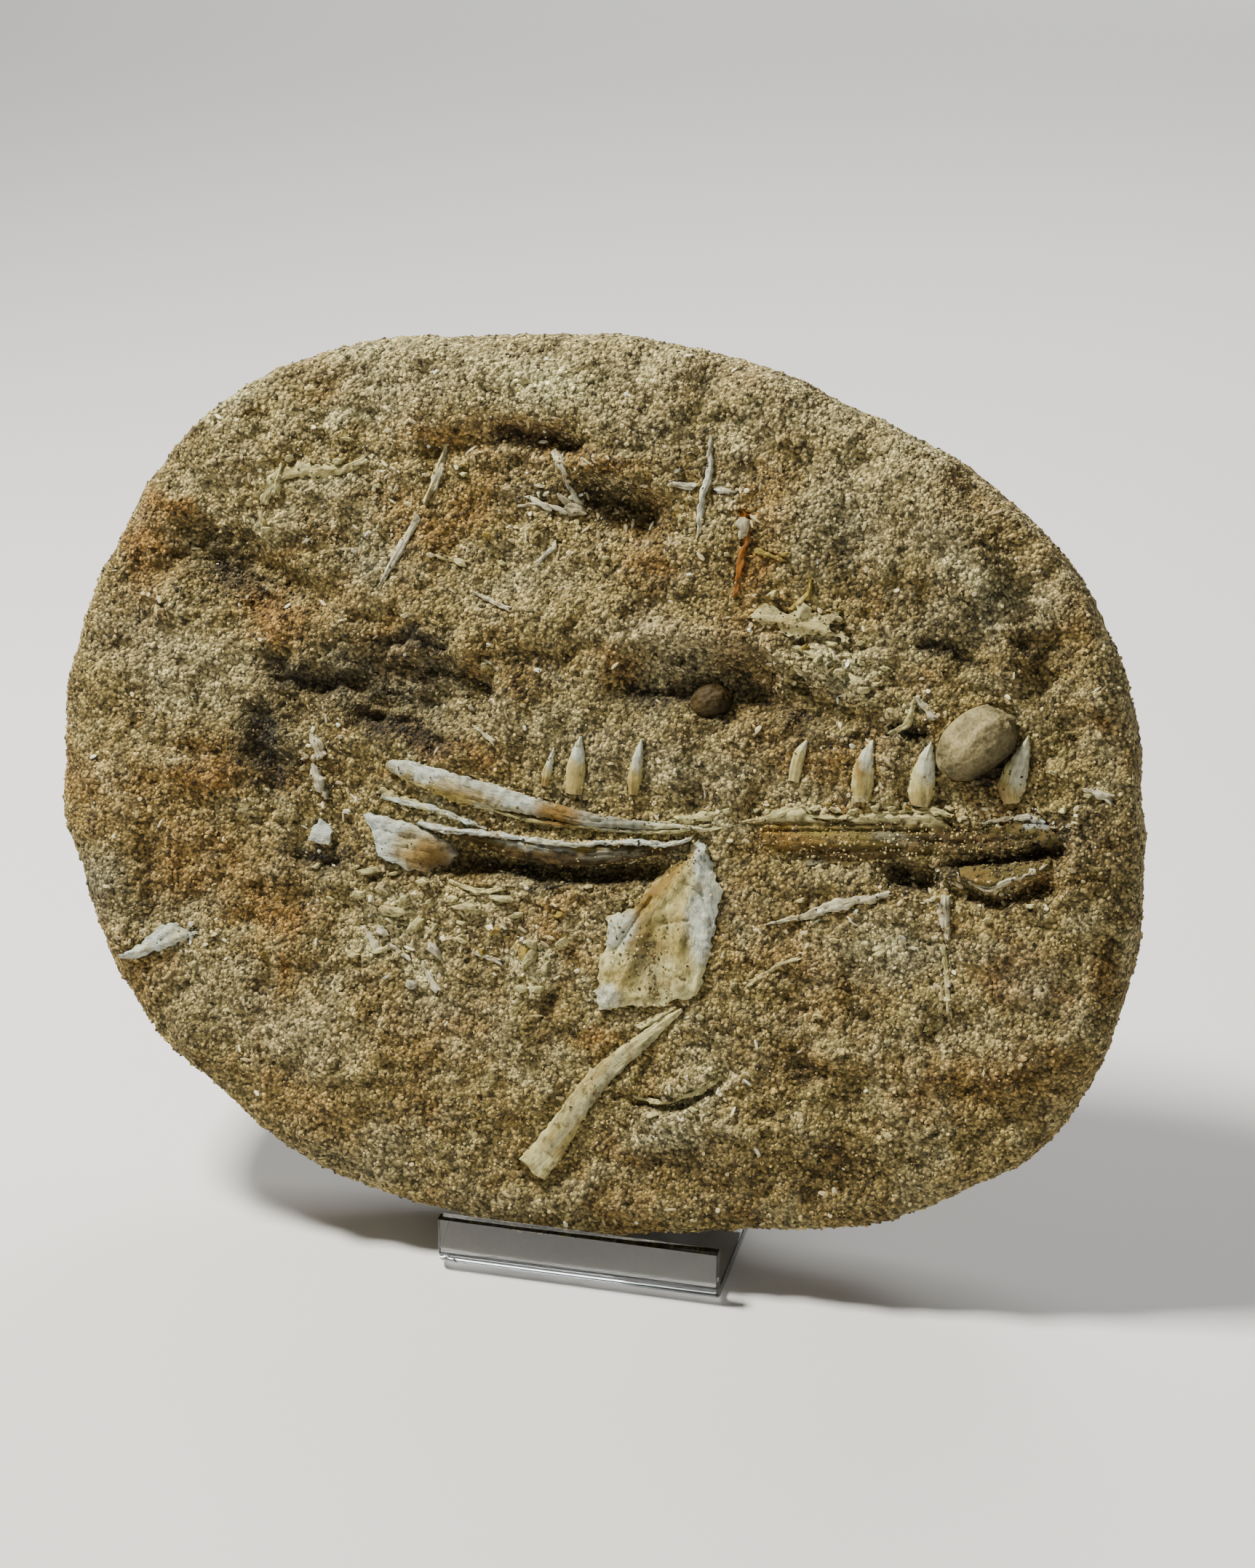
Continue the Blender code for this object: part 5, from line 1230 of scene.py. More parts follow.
def plate_bone(name, node, outline, edge, middle, look, base):
    """A flat bone over its outline: its forms on top, a flat underside in the rock."""
    corners = np.asarray(outline, float)
    loop = []
    for a, b in zip(corners, np.roll(corners, -1, 0)):
        count = max(1, round(float(np.linalg.norm(b - a)) / 0.4))
        loop += [a + (b - a) * k / count for k in range(count)]
    loop = np.array(loop)
    rag = RAGGED.get(node, 0.5)
    shift = rag * np.stack((lumps(*loop.T, 1.3, 80.0), lumps(*loop.T, 1.3, 81.0)), 1)
    shift += 1.3 * rag * np.stack((lumps(*loop.T, 3.6, 84.0), lumps(*loop.T, 3.6, 85.0)), 1)
    while crosses_itself(loop + shift):
        shift *= 0.8
    loop = loop + shift
    spots = lattice(loop.min(0), loop.max(0), 0.5)
    spots = spots[beyond_outline(*spots.T, [tuple(p) for p in loop]) < -0.25]
    points, triangles = filled(loop, spots)
    inward = -beyond_outline(*points.T, outline)
    above = edge + (middle - edge) * np.clip(inward / 2.5, 0, 1) ** 0.7
    for run, half, height in PLATE_FORMS.get(node, ()):
        away = beyond_run(*points.T, run, [0] * len(run))
        above += height * np.exp(-((away / half) ** 2)) * np.clip(inward / 0.5 + 0.3, 0, 1)
    above += 0.30 * lumps(*points.T, 1.4, 82.0) + 0.5 * lumps(*points.T, 4.2, 83.0)
    ground = broad_height(*points.T)
    count, ring = len(points), len(loop)
    spots = np.vstack((np.column_stack((points, ground + above)),
                       np.column_stack((points, ground - SINK))))
    faces = triangles.tolist() + (triangles[:, ::-1] + count).tolist()
    faces += [(k, k + count, (k + 1) % ring + count, (k + 1) % ring) for k in range(ring)]
    fibre = np.column_stack((spots[:, 0] * 0.12, spots[:, 1] * 0.9, spots[:, 2] * 0.9, np.ones(len(spots))))
    if node == "fan_bone":
        away = spots[:, :2] - (25, -2)
        fibre[:, 0] = np.hypot(*away.T) * 0.12
        fibre[:, 1] = np.arctan2(away[:, 1], away[:, 0]) * 14
    above = np.concatenate((above / middle, np.full(count, -1.0)))
    made = piece(name, spots, faces, look, tint=bone_colours(spots, base), fibre=fibre,
                 bare=sand_share(spots, above))
    bones.append(made)
    return turned_out(made)


for name, (outline, edge, middle) in PLATES.items():
    bone = plate_bone(name + "_fossil", name, outline, edge, middle, bone_look,
                      PLATE_BASES.get(name, "blue_white"))
    stands_for(bone, name)
    print(name, "triangles:", sum(len(face.vertices) - 2 for face in bone.data.polygons))

# %% [markdown]
# ### Strands, chips and flecks
# Beside the named bones lie thin strands and chips that the scraper broke off. The larger ones are listed,
# because a viewer compares them one by one. The smallest are only a feeling of pale specks, so a tree
# scatters them where the attribute fleck is high. Each is a piece of its own, which rides with the slab.

# %% Strands: points, half widths, height, colour
STRANDS = {
    "keel_line": (((-33.4, -7.4), (-25.5, -8.2), (-19.3, -9.3), (-11.2, -9.9), (-4.2, -9.7), (6.3, -9.8),
                   (16.8, -8.7), (24, -6.6)), (0.2, 0.45, 0.5, 0.55, 0.55, 0.5, 0.5, 0.3), 1.3, "ivory"),
    "blade_lip": (((-42.2, -12.7), (-36.4, -13.6), (-26.6, -13.5), (-17.4, -13.9), (-6.5, -14.1),
                   (0.6, -12.9),
                   (9.5, -12), (15.4, -11.9), (20.4, -10)), (0.5, 0.8, 0.7, 0.6, 0.6, 0.6, 0.7, 0.6, 0.4),
                   3.3,
                  "blue_white"),
    "splint_line": (((-51.2, -7.7), (-45.4, -8.6), (-39.6, -9.1), (-31.5, -11.2), (-27, -12.4)),
                    (0.6, 0.7, 0.6, 0.6, 0.3), 1.5, "blue_white"),
    "front_lower_edge": (((11.4, -7.2), (17, -7.4), (23, -7.8), (31, -5.6)), (0.4, 0.6, 0.5, 0.3), 1.0,
                         "ivory"),
    "crest_flake_a": (((13, -8), (19, -6), (27, -4), (30, -5)), (0.5, 1.0, 0.9, 0.4), 1.1, "ivory"),
    "crest_flake_b": (((31, -5.4), (36, -4.2), (39, -2.9), (43.9, -0.9), (46, -1.6)),
                      (0.4, 0.7, 1.0, 0.9, 0.4),
                      1.6, "ivory"),
    "crest_flake_c": (((46, -2.6), (51, -2.4), (54.8, -2)), (0.3, 0.6, 0.4), 1.2, "honey"),
    "crest_flake_d": (((54.8, -2), (60, -0.9), (66, 0.1), (72.8, 1.2), (77, 0.6)), (0.5, 0.9, 0.8, 0.9, 0.4),
                      1.7,
                      "ivory"),
    "crest_flake_e": (((84, -0.4), (90, 1.3), (94, 1.9), (97.5, 0.9)), (0.4, 0.6, 1.0, 0.6), 1.7, "chalk"),
    "shelf_edge": (((82.4, -12.9), (86.7, -14.4), (90.5, -11.9), (95.8, -9.5), (99, -7.6)),
                   (0.5, 0.8, 0.7, 0.7, 0.4), 2.3, "chalk"),
    "burst_upper_b": (((-11.6, 61), (-14.6, 66), (-16, 72)), (0.8, 0.5, 0.3), 1.3, "chalk"),
    "burst_upper_c": (((-13, 60.6), (-18, 64), (-23.6, 65.4)), (0.7, 0.5, 0.3), 1.2, "chalk"),
    "burst_left_b": (((-13, 59), (-19, 60.6), (-25, 60)), (0.6, 0.5, 0.25), 1.0, "chalk"),
    "burst_lower_b": (((-12, 58), (-11, 53), (-13, 48)), (0.7, 0.45, 0.25), 1.0, "ivory"),
    "burst_knob": (((-14.4, 60.4), (-12.3, 60), (-10.2, 59.4)), (0.9, 1.4, 0.8), 1.8, "chalk"),
    "left_strand_a": (((-43.2, 72.2), (-44.6, 66), (-46.6, 59.3)), (0.3, 0.6, 0.4), 1.0, "ivory"),
    "left_strand_b": (((-48, 68), (-49.6, 62), (-50, 57)), (0.3, 0.6, 0.3), 0.8, "ivory"),
    "crest_spur": (((-82, 58), (-81.4, 61), (-80.6, 65.4)), (0.9, 0.7, 0.4), 1.3, "ivory"),
    "crest_foot": (((-84.6, 55), (-84.4, 51.6), (-83.6, 48.6)), (0.7, 1.0, 0.7), 1.4, "ivory"),
    "rust_knob": (((25.4, 61), (26.2, 59.4), (26.6, 57)), (1.0, 1.5, 0.9), 2.0, "chalk"),
    "tangle_a": (((40, 34), (45, 32.4), (52, 33)), (0.5, 0.9, 0.4), 1.4, "ivory"),
    "tangle_b": (((46, 35), (47, 30), (45, 26.6)), (0.4, 0.8, 0.4), 1.3, "ivory"),
    "tangle_c": (((51, 30), (55, 27.6), (59, 27.4)), (0.4, 0.9, 0.5), 1.3, "ivory"),
    "tangle_d": (((38, 42), (41.6, 45.6), (42, 49)), (0.7, 0.6, 0.3), 1.1, "honey"),
    "spine_prong": (((12, -53), (16.6, -50), (20, -47.4)), (0.9, 0.7, 0.4), 1.2, "ivory"),
    "crack_flake_a": (((12, -68.4), (17, -69.3), (22, -68.4)), (0.4, 0.7, 0.4), 1.0, "ivory"),
    "crack_flake_b": (((22, -68), (27, -65.4), (31.5, -61.6)), (0.4, 0.8, 0.4), 1.0, "ivory"),
    "lower_left_vee": (((-53, -40), (-50.6, -42.6), (-47, -41.4)), (0.6, 0.9, 0.4), 1.3, "ivory"),
    "lower_left_arc": (((-53, -31), (-48, -33), (-43.4, -31.6)), (0.4, 0.8, 0.4), 1.0, "ivory"),
    "lower_middle_arc": (((-20, -36), (-15, -40), (-14.6, -45)), (0.5, 1.0, 0.5), 1.0, "honey"),
    "under_jaw_strand": (((-34, -25), (-27, -26.6), (-21, -25.4)), (0.4, 0.7, 0.4), 1.0, "ivory"),
    "right_low_strand": (((36, -41), (42, -36), (47, -33.6)), (0.4, 0.6, 0.3), 0.9, "ivory"),
    "right_ray_upper": (((77.6, -17), (78.2, -22), (78.6, -26)), (1.2, 0.9, 0.5), 1.4, "chalk"),
    "right_arc_upper": (((62, 17), (66, 20), (67, 25)), (0.5, 0.9, 0.4), 1.3, "ivory"),
}
for number, (name, (points, halves, rise, base)) in enumerate(STRANDS.items()):
    long_one = name in ("keel_line", "blade_lip", "shelf_edge", "splint_line")
    strand = run_bone(name, points, halves, rise, bone_look, base, ragged=0.3, broken=0.5, fullness=0.7,
                      buried=0.1 if long_one else 0.45, seed=300 + number * 4.3)
    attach(strand, "root")
print("strands:", len(STRANDS))

# %% Chips: middle, length, width, turn, colour
CHIPS = (
    (-47, -33, 7.0, 3.0, -12, "ivory"), (-30, -30.4, 8.0, 2.6, 8, "ivory"), (-14, -40, 5.6, 3.4, 70, "ivory"),
    (-36, -41, 6.4, 2.8, -40, "chalk"), (-22, -27.6, 7.4, 2.2, -6, "ivory"), (-7, -36, 5.0, 2.6, 40, "ivory"),
    (-53, -24.6, 6.6, 2.2, 12, "ivory"), (-41, -35.6, 5.4, 2.6, 50, "ivory"),
    (-55, -30, 4.2, 2.2, 10, "ivory"), (-50, -28.6, 3.2, 1.8, -30, "ivory"),
    (-44, -30, 3.8, 2.2, 25, "ivory"),
    (-49, -38, 4.4, 2.4, -35, "chalk"), (-45, -43, 3.6, 2.0, 30, "ivory"), (-55, -44, 3.2, 2.0, 0, "ivory"),
    (-37, -36, 3.6, 2.2, 60, "ivory"), (-33, -29, 4.2, 1.8, 5, "ivory"), (-27, -31, 3.4, 2.0, -15, "ivory"),
    (-22, -35, 3.6, 2.2, 40, "honey"), (-18, -31, 3.8, 1.8, 10, "ivory"), (-14, -37, 3.6, 2.4, -40, "ivory"),
    (-10, -42, 4.0, 2.4, 60, "ivory"), (-15, -47, 3.4, 2.2, 0, "ivory"), (-8, -30, 3.2, 1.8, 20, "honey"),
    (-30, -38, 3.0, 1.6, -20, "ivory"), (-40, -25.6, 3.4, 1.6, 0, "ivory"),
    (-47, -24.6, 2.8, 1.6, 20, "ivory"),
    (47, -0.9, 2.6, 1.5, 10, "ivory"), (51.4, -0.6, 2.8, 1.5, -15, "ivory"),
    (55.6, -0.6, 2.6, 1.6, 20, "ivory"),
    (60.4, 0.5, 3.0, 1.7, 0, "ivory"), (64.2, 1.0, 2.6, 1.5, 25, "ivory"),
    (67.4, 1.2, 2.4, 1.5, -20, "honey"),
    (73.4, 1.9, 2.6, 1.6, 10, "ivory"), (76.4, 2.0, 2.2, 1.4, -10, "ivory"),
    (36.6, -2.6, 2.4, 1.4, 15, "ivory"),
    (28, -3.2, 2.8, 1.5, 12, "ivory"), (22.4, -4.4, 2.8, 1.6, 10, "ivory"), (17, -5.6, 2.6, 1.4, 8, "ivory"),
    (48, 35.4, 3.4, 2.0, -10, "ivory"), (45, 31.6, 3.2, 1.8, 60, "ivory"), (50, 29.4, 3.4, 2.0, 20, "ivory"),
    (55, 31.8, 2.8, 1.6, -30, "ivory"), (42, 34, 2.6, 1.6, 30, "honey"), (56, 26, 3.0, 1.8, 0, "ivory"),
    (-88, 56, 2.8, 1.8, 50, "ivory"), (-79, 66.6, 2.8, 1.6, 10, "ivory"), (-68, 66.8, 2.8, 1.8, 20, "ivory"),
    (30, -63.4, 3.0, 1.6, 50, "ivory"), (26, -69.8, 2.8, 1.4, 0, "ivory"), (17, -72, 2.8, 1.4, 0, "ivory"),
    (-60, 51, 2.6, 1.6, 20, "chalk"), (-63, 47, 2.2, 1.2, -30, "chalk"), (-57, 53, 2.4, 1.2, 60, "ivory"),
    (-84, 50, 3.4, 2.2, 20, "ivory"), (-93, -50, 2.6, 1.8, 10, "ivory"), (-41, -49, 3.2, 2.6, 40, "chalk"),
    (-47, -35, 3.0, 1.8, -20, "ivory"), (-38, -30, 2.6, 1.6, 50, "ivory"), (-30, -34, 3.2, 1.4, 10, "ivory"),
    (-25, -40, 2.4, 1.6, -50, "honey"), (-11, -47, 3.0, 2.4, 0, "ivory"), (-6, -36, 2.4, 1.6, 30, "ivory"),
    (-56, -24, 2.2, 1.4, 20, "ivory"), (-62, -32, 2.4, 1.2, -40, "ivory"), (46, -21, 2.6, 1.2, 20, "ivory"),
    (54, -29, 2.8, 1.4, 0, "ivory"), (64, -31, 3.0, 1.6, 15, "ivory"), (69, -27, 2.4, 1.6, -30, "chalk"),
    (87, -21, 2.4, 1.4, 30, "ivory"), (96, -17, 2.6, 1.2, 10, "ivory"), (80, -36, 2.0, 1.4, 80, "chalk"),
    (76, -46, 2.0, 1.0, 60, "ivory"), (34, 45, 2.6, 1.6, 40, "ivory"), (49, 41, 2.8, 1.6, -20, "ivory"),
    (54, 36, 2.6, 1.8, 10, "ivory"), (41, 29, 3.0, 1.6, -40, "ivory"), (60, 31, 2.4, 1.4, 0, "ivory"),
    (36, 54, 2.2, 1.4, 20, "honey"), (23, 53, 2.0, 1.2, 0, "ivory"), (12, 60, 2.0, 1.2, 50, "ivory"),
    (-4, 50, 2.2, 1.2, 10, "ivory"), (-28, 47, 2.4, 1.4, -10, "ivory"), (-32, 53, 2.2, 1.2, 30, "honey"),
    (-20, 54, 2.4, 1.0, 45, "ivory"), (-38, 66, 2.4, 1.2, 0, "ivory"), (-58, 62, 2.6, 1.4, 10, "ivory"),
    (-66, 72, 3.2, 1.4, 0, "ivory"), (-74, 78, 3.0, 1.6, 10, "ivory"), (-30, 24, 2.0, 1.4, 70, "ivory"),
    (-33, 14, 2.4, 1.2, -40, "chalk"), (-20, 16, 1.8, 1.2, 0, "ivory"), (-62, 5, 2.0, 1.4, 30, "chalk"),
    (-71, -3, 2.2, 1.2, 60, "ivory"), (-60, -12, 2.6, 1.6, 0, "chalk"), (-66, -25, 2.2, 1.4, 30, "ivory"),
    (62, 22, 2.2, 1.4, -30, "ivory"), (58, 24, 2.4, 1.2, 10, "ivory"), (98, 12, 2.2, 1.2, 0, "ivory"),
    (101, 4, 2.4, 1.4, 20, "ivory"), (106, 7.6, 2.6, 1.4, 10, "ivory"), (80, 0.4, 2.4, 1.2, -10, "ivory"),
    (50, 0.4, 2.2, 1.2, 0, "honey"), (34, -2.6, 2.2, 1.2, 20, "ivory"), (-2, -23, 2.6, 1.2, 20, "ivory"),
    (30, -35, 2.6, 1.6, 60, "ivory"), (33, -41, 2.4, 1.2, 40, "ivory"), (26, -49, 2.4, 1.6, 0, "ivory"),
    (8, -62, 2.2, 1.2, 40, "ivory"), (38, -60, 2.2, 1.2, 0, "ivory"), (52, -46, 2.2, 1.2, 0, "ivory"),
    (-52, -70, 1.8, 1.2, 0, "ivory"), (-76, -46, 2.2, 1.4, 30, "honey"), (-20, -66, 1.8, 1.2, 0, "ivory"),
    (70, -70, 2.0, 1.2, 0, "ivory"), (44, 78, 2.2, 1.2, 0, "ivory"), (62, 68, 2.4, 1.2, -30, "ivory"),
)


CHIP_LIFT, CHIP_DEPTH = 0.25, 2.4  # millimetres above the rock and down into it
CHIP_TILT = 0.16
CHIP_BULGE = 0.08  # how much a longer chip is thicker


def chips(name, rows):
    """Broken flat chips in one piece: each lies along the rock, with ragged corners and a slight tilt."""
    dice = np.random.default_rng(19)
    spots, faces, tints = [], [], []
    for u, v, length, width, turn, base in rows:
        corners = int(dice.integers(6, 10))
        around = np.sort(dice.uniform(0, 1, corners) * 0.6 + np.arange(corners)) / corners * 2 * math.pi
        reach = dice.uniform(0.55, 1.1, corners)
        x, y = np.cos(around) * reach * length / 2, np.sin(around) * reach * width / 2
        angle = math.radians(turn)
        ring = np.stack((u + x * math.cos(angle) - y * math.sin(angle),
                         v + x * math.sin(angle) + y * math.cos(angle)), 1)
        near = np.array([u, u + 1, u - 1, u, u]), np.array([v, v, v, v + 1, v - 1])
        heights = face_height(*near, clear_of_bones(*near))
        ground = heights[0] + CHIP_LIFT
        slope = np.array((heights[1] - heights[2], heights[3] - heights[4])) / 2
        lean = slope + dice.uniform(-CHIP_TILT, CHIP_TILT, 2)
        inner = (ring - (u, v)) * 0.55 + (u, v)
        start = sum(map(len, spots))
        edge = ground + (ring - (u, v)) @ lean + dice.uniform(0.1, 0.5, corners)
        crown = ground + (inner - (u, v)) @ lean + dice.uniform(0.5, 1.1, corners) + CHIP_BULGE * length
        spots.append(np.vstack((np.column_stack((inner, crown)), np.column_stack((ring, edge)),
                                np.column_stack((ring, edge - CHIP_DEPTH)))))
        faces.append([start + k for k in range(corners)])
        for level in (0, corners):
            faces += [[start + level + k, start + level + corners + k,
                       start + level + corners + (k + 1) % corners, start + level + (k + 1) % corners]
                      for k in range(corners)]
        faces.append([start + 2 * corners + k for k in range(corners)][::-1])
        tints.append(np.tile((*COLOURS[base], 1), (3 * corners, 1)) * dice.uniform(0.75, 1.1))
    spots = np.vstack(spots)
    fibre = np.column_stack((spots * (0.12, 0.9, 0.9), np.ones(len(spots))))
    return turned_out(piece(name, spots, faces, bone_look, smooth=False, tint=np.vstack(tints), fibre=fibre))


chipped = chips("bone_chips", CHIPS)
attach(chipped, "root")
print("chips:", len(CHIPS))

# %% [markdown]
# The flecks use the same tree as the sand's grains, with long flat nuggets that lie on the rock. Sand that
# still clings to the bones is scattered by it too, over a joined copy of all the bones.

# %% Flecks of bone


def fleck_finish():
    made, tree, shader = finish("bone_flecks", Roughness=0.5, Specular_IOR_Level=0.4)
    own = add(tree, "ShaderNodeAttribute", attribute_name="shade").outputs["Fac"]
    colour = ramp(tree, own, ((0.0, (0.20, 0.14, 0.05)), (0.45, (0.42, 0.33, 0.15)), (0.8, (0.58, 0.50, 0.27)),
                              (0.94, (0.68, 0.64, 0.42)), (1.0, (0.72, 0.74, 0.62))))
    tree.links.new(colour, shader.inputs["Base Color"])
    return made


flecks_look = fleck_finish()
for name, count, low, high, seed in (
        ("flecks_large", 190000, (0.0004, 0.00025, 0.00012), (0.0017, 0.0007, 0.0004), 51),
        ("flecks_small", 420000, (0.00016, 0.00012, 0.0001), (0.0005, 0.0003, 0.0002), 52)):
    flecks = run_tree(name, slab_stone, nuggets, Where="fleck", Per_square_metre=count, Smallest=low,
                      Largest=high, Tilt=(0.5, 0.5, 6.283), Seed=seed, Finish=flecks_look)
    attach(flecks, "root")

# %% Sand on the bones


def on_slab(points):
    """Points in metres as slab millimetres, the other way round from in_scene."""
    return (np.asarray(points) * 1000 - FACE_CENTRE) @ AXES.T


def joined(pieces):
    """One net over several pieces, with the sand's own colours and its painted shade."""
    spots, faces, bare, start = [], [], [], 0
    for made in pieces:
        mesh = made.data
        place, share = np.empty(len(mesh.vertices) * 3), np.empty(len(mesh.vertices))
        mesh.vertices.foreach_get("co", place)
        mesh.attributes["bare"].data.foreach_get("value", share)
        spots.append(on_slab(place.reshape(-1, 3)))
        bare.append(share)
        faces += [[start + index for index in face.vertices] for face in mesh.polygons]
        start += len(share)
    spots = np.vstack(spots)
    return piece("all_bones", spots, faces, bone_look, tint=stained(spots), bare=np.concatenate(bare))


all_bones = joined(bones)
clinging = run_tree("sand_on_bones", all_bones, nuggets, Where="bare", Per_square_metre=1150000,
                    Smallest=(0.00013,) * 3, Largest=(0.00046,) * 3, Tilt=EVERY_WAY, Seed=61,
                    Finish=grains_look)
bpy.data.objects.remove(all_bones)
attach(clinging, "root")

# %% [markdown]
# ## The pebble and the nodule
# Two rounded stones sit in the sand. Each is a ball of small triangles, pulled to its half sizes and dented a
# little, because a plain sphere primitive shows its poles and looks like a bead.

# %% Smooth stones


def stone_finish():
    made, tree, shader = finish("smooth_stone", Roughness=0.6, Specular_IOR_Level=0.12)
    tint = add(tree, "ShaderNodeAttribute", attribute_name="tint").outputs["Color"]
    place = add(tree, "ShaderNodeTexCoord").outputs["Object"]
    cloud = add(tree, "ShaderNodeTexNoise", {"Vector": place, "Scale": 260.0, "Detail": 5.0})
    fine = add(tree, "ShaderNodeTexNoise", {"Vector": place, "Scale": 1500.0, "Detail": 2.0})
    patch = ramp(tree, cloud.outputs["Fac"], ((0.35, 0.35), (0.52, 0.85), (0.66, 1.0)))
    speck = ramp(tree, fine.outputs["Fac"], ((0.35, 0.4), (0.5, 0.85), (0.65, 1.0)))
    colour = blend_of(tree, "MULTIPLY", 0.8, tint, patch)
    colour = blend_of(tree, "MULTIPLY", 0.7, colour, speck)
    tree.links.new(colour, shader.inputs["Base Color"])
    height = reckon(tree, "MULTIPLY_ADD", fine.outputs["Fac"], 0.5, cloud.outputs["Fac"])
    bump = add(tree, "ShaderNodeBump", {"Height": height, "Strength": 0.6, "Distance": 0.0004})
    tree.links.new(bump.outputs[0], shader.inputs["Normal"])
    return made


# Each stone's first colour is its own; the second is painted shade on its lower right side and underside.
STONE_COLOURS = {"pebble": ((0.33, 0.275, 0.125), (0.026, 0.017, 0.007)),
                 "small_nodule": ((0.070, 0.046, 0.014), (0.026, 0.018, 0.006))}
stone_look = stone_finish()


def dented_stone(name, middle, half, turn, height):
    shape = bmesh.new()
    bmesh.ops.create_icosphere(shape, subdivisions=6, radius=1)
    angle = math.radians(turn)
    spots, faces = [], [[vertex.index for vertex in face.verts] for face in shape.faces]
    for vertex in shape.verts:
        dent = (0.95 + 0.15 * noise.noise(vertex.co * 1.3) + 0.09 * noise.noise(vertex.co * 3.4)
                + 0.02 * noise.noise(vertex.co * 11) + 0.008 * noise.noise(vertex.co * 26))
        x, y, z = (value * size * min(dent, 1.0) for value, size in zip(vertex.co, half))
        spots.append((x * math.cos(angle) - y * math.sin(angle), x * math.sin(angle) + y * math.cos(angle), z))
    shape.free()
    spots = np.array(spots)
    light, dark_and_shade = (np.array(colour) for colour in STONE_COLOURS[name])
    # Painted shade: darker towards the lower right and the back of the stone.
    low = np.clip(0.5 - spots @ np.array((-0.50, 0.62, 0.60)) / half[1] / 1.5, 0, 1) ** 1.3
    tint = np.column_stack((light + (dark_and_shade - light) * low[:, None], np.ones(len(spots))))
    spots += (*middle, float(broad_height([middle[0]], [middle[1]])[0]) + height)
    return turned_out(piece(name + "_stone", spots, faces, stone_look, tint=tint))


for name, sizes in STONES.items():
    stands_for(dented_stone(name, *sizes), name)

# %% [markdown]
# ## The stand
# The stand is one strip of clear acrylic, 3 mm thick, bent over a hot wire: a lip, a ledge, a back plate and a
# rear leg. Its shape follows a path, so Geometry Nodes sweep a rounded strip's section along the middle line
# of the sheet. The finish is plain clear acrylic: transmission, an index of 1.49 and a faint tint in its depth.

# %% The path of the bent sheet
SHEET = 3.0
STAND_WIDTH, STAND_MIDDLE = 64.5, 8.63
LIP_HEIGHT, BEND, TOP_BEND = 13.0, 3.5, 5.0
LIP_FRONT = FACE_CENTRE[1] - 36.6
BACK_PLATE_LENGTH = 92.88
LEG_LEAN = math.radians(20)
SLAB_GAP = 0.3


def sheet_path():
    """The middle of the sheet seen from its end, as (y, z) in millimetres, from the lip to the leg's foot."""
    spot = np.array((LIP_FRONT + SHEET / 2, LIP_HEIGHT))
    heading = -math.pi / 2
    path = [spot]

    def straight(length):
        path.append(path[-1] + np.array((math.cos(heading), math.sin(heading))) * length)

    def bend(angle, radius, steps):
        nonlocal heading
        side = math.copysign(1, angle)
        centre = path[-1] + np.array((-math.sin(heading), math.cos(heading))) * radius * side
        for _ in range(steps):
            heading += angle / steps
            path.append(centre - np.array((-math.sin(heading), math.cos(heading))) * radius * side)

    back_plane = (FACE_CENTRE[1] - FACE_CENTRE[2] * math.tan(LEAN)
                  + (SLAB_THICK + SLAB_GAP + SHEET / 2) / math.cos(LEAN))
    corner = back_plane + SHEET / 2 * math.tan(LEAN)
    straight(LIP_HEIGHT - SHEET / 2 - BEND)
    bend(math.pi / 2, BEND, 12)
    straight(corner - path[-1][0] - BEND * math.tan((math.pi / 2 - LEAN) / 2))
    bend(math.pi / 2 - LEAN, BEND, 10)
    straight(BACK_PLATE_LENGTH)
    bend(-(math.pi - LEAN - LEG_LEAN), TOP_BEND, 18)
    foot = (SHEET / 2 * abs(math.cos(heading)) - path[-1][1]) / math.sin(heading)
    straight(foot)
    return np.array(path)


path = sheet_path()
print("length of the strip before bending:", round(float(np.linalg.norm(np.diff(path, axis=0), axis=1).sum()), 1), "mm")

# %% A tree that sweeps a strip along a path


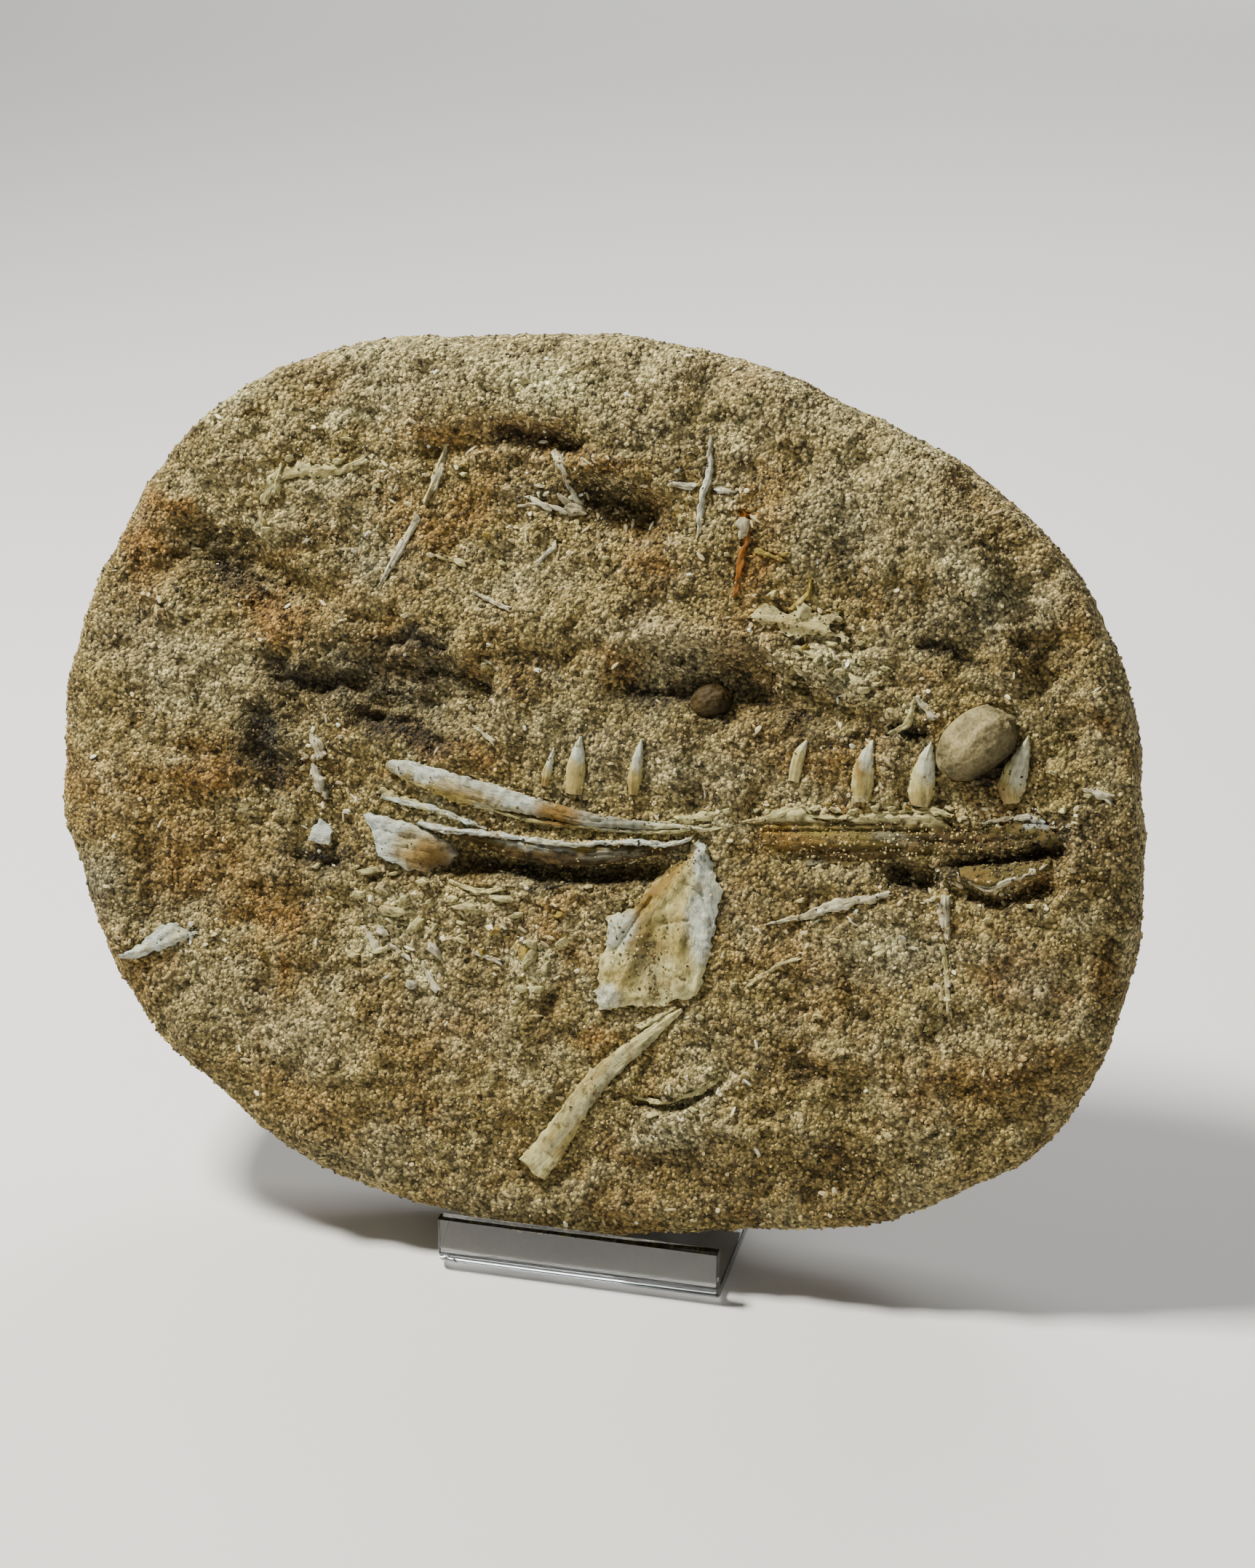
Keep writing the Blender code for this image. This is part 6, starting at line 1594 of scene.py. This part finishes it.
def strip_tree():
    tree = bpy.data.node_groups.new("sweep_strip", "GeometryNodeTree")
    for label, kind in (("Path", "NodeSocketGeometry"), ("Width", "NodeSocketFloat"),
                        ("Thickness", "NodeSocketFloat"), ("Edge radius", "NodeSocketFloat"),
                        ("Finish", "NodeSocketMaterial")):
        tree.interface.new_socket(label, in_out="INPUT", socket_type=kind)
    tree.interface.new_socket("Strip", in_out="OUTPUT", socket_type="NodeSocketGeometry")
    given = add(tree, "NodeGroupInput").outputs
    line = add(tree, "GeometryNodeMeshToCurve", {"Mesh": given["Path"]})
    section = add(tree, "GeometryNodeCurvePrimitiveQuadrilateral",
                  {"Width": given["Width"], "Height": given["Thickness"]})
    rounded = add(tree, "GeometryNodeFilletCurve",
                  {"Curve": section.outputs[0], "Radius": given["Edge radius"], "Count": 3,
                   "Limit Radius": True}, mode="POLY")
    swept = add(tree, "GeometryNodeCurveToMesh",
                {"Curve": line.outputs[0], "Profile Curve": rounded.outputs[0], "Fill Caps": True})
    real = add(tree, "GeometryNodeRealizeInstances", {"Geometry": swept.outputs[0]})
    coated = add(tree, "GeometryNodeSetMaterial",
                 {"Geometry": real.outputs[0], "Material": given["Finish"]})
    add(tree, "NodeGroupOutput", {"Strip": coated.outputs[0]})
    return tree


def clear_acrylic():
    made, tree, shader = finish("clear_acrylic", Roughness=0.03, IOR=1.49)
    shader.inputs["Base Color"].default_value = (1, 1, 1, 1)
    shader.inputs["Transmission Weight"].default_value = 1.0
    depth = add(tree, "ShaderNodeVolumeAbsorption", {"Color": (0.80, 0.93, 0.90, 1), "Density": 6.0})
    tree.links.new(depth.outputs[0], tree.nodes["Material Output"].inputs["Volume"])
    return made


path_mesh = bpy.data.meshes.new("sheet_path")
path_mesh.from_pydata([(STAND_MIDDLE * 0.001, y * 0.001, z * 0.001) for y, z in path],
                      [(i, i + 1) for i in range(len(path) - 1)], [])
path_object = bpy.data.objects.new("sheet_path", path_mesh)
stand = run_tree("stand_strip", path_object, strip_tree(), Width=STAND_WIDTH * 0.001,
                 Thickness=SHEET * 0.001, Edge_radius=0.0004, Finish=clear_acrylic())
bpy.data.objects.remove(path_object)
stands_for(turned_out(stand), "stand")
low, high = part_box("stand")
co = np.array([tuple(vertex.co) for vertex in stand.data.vertices])
print("stand solid:", [round(v * 1000, 1) for v in (*low, *high)],
      "strip:", (co.min(0) * 1000).round(1), (co.max(0) * 1000).round(1))
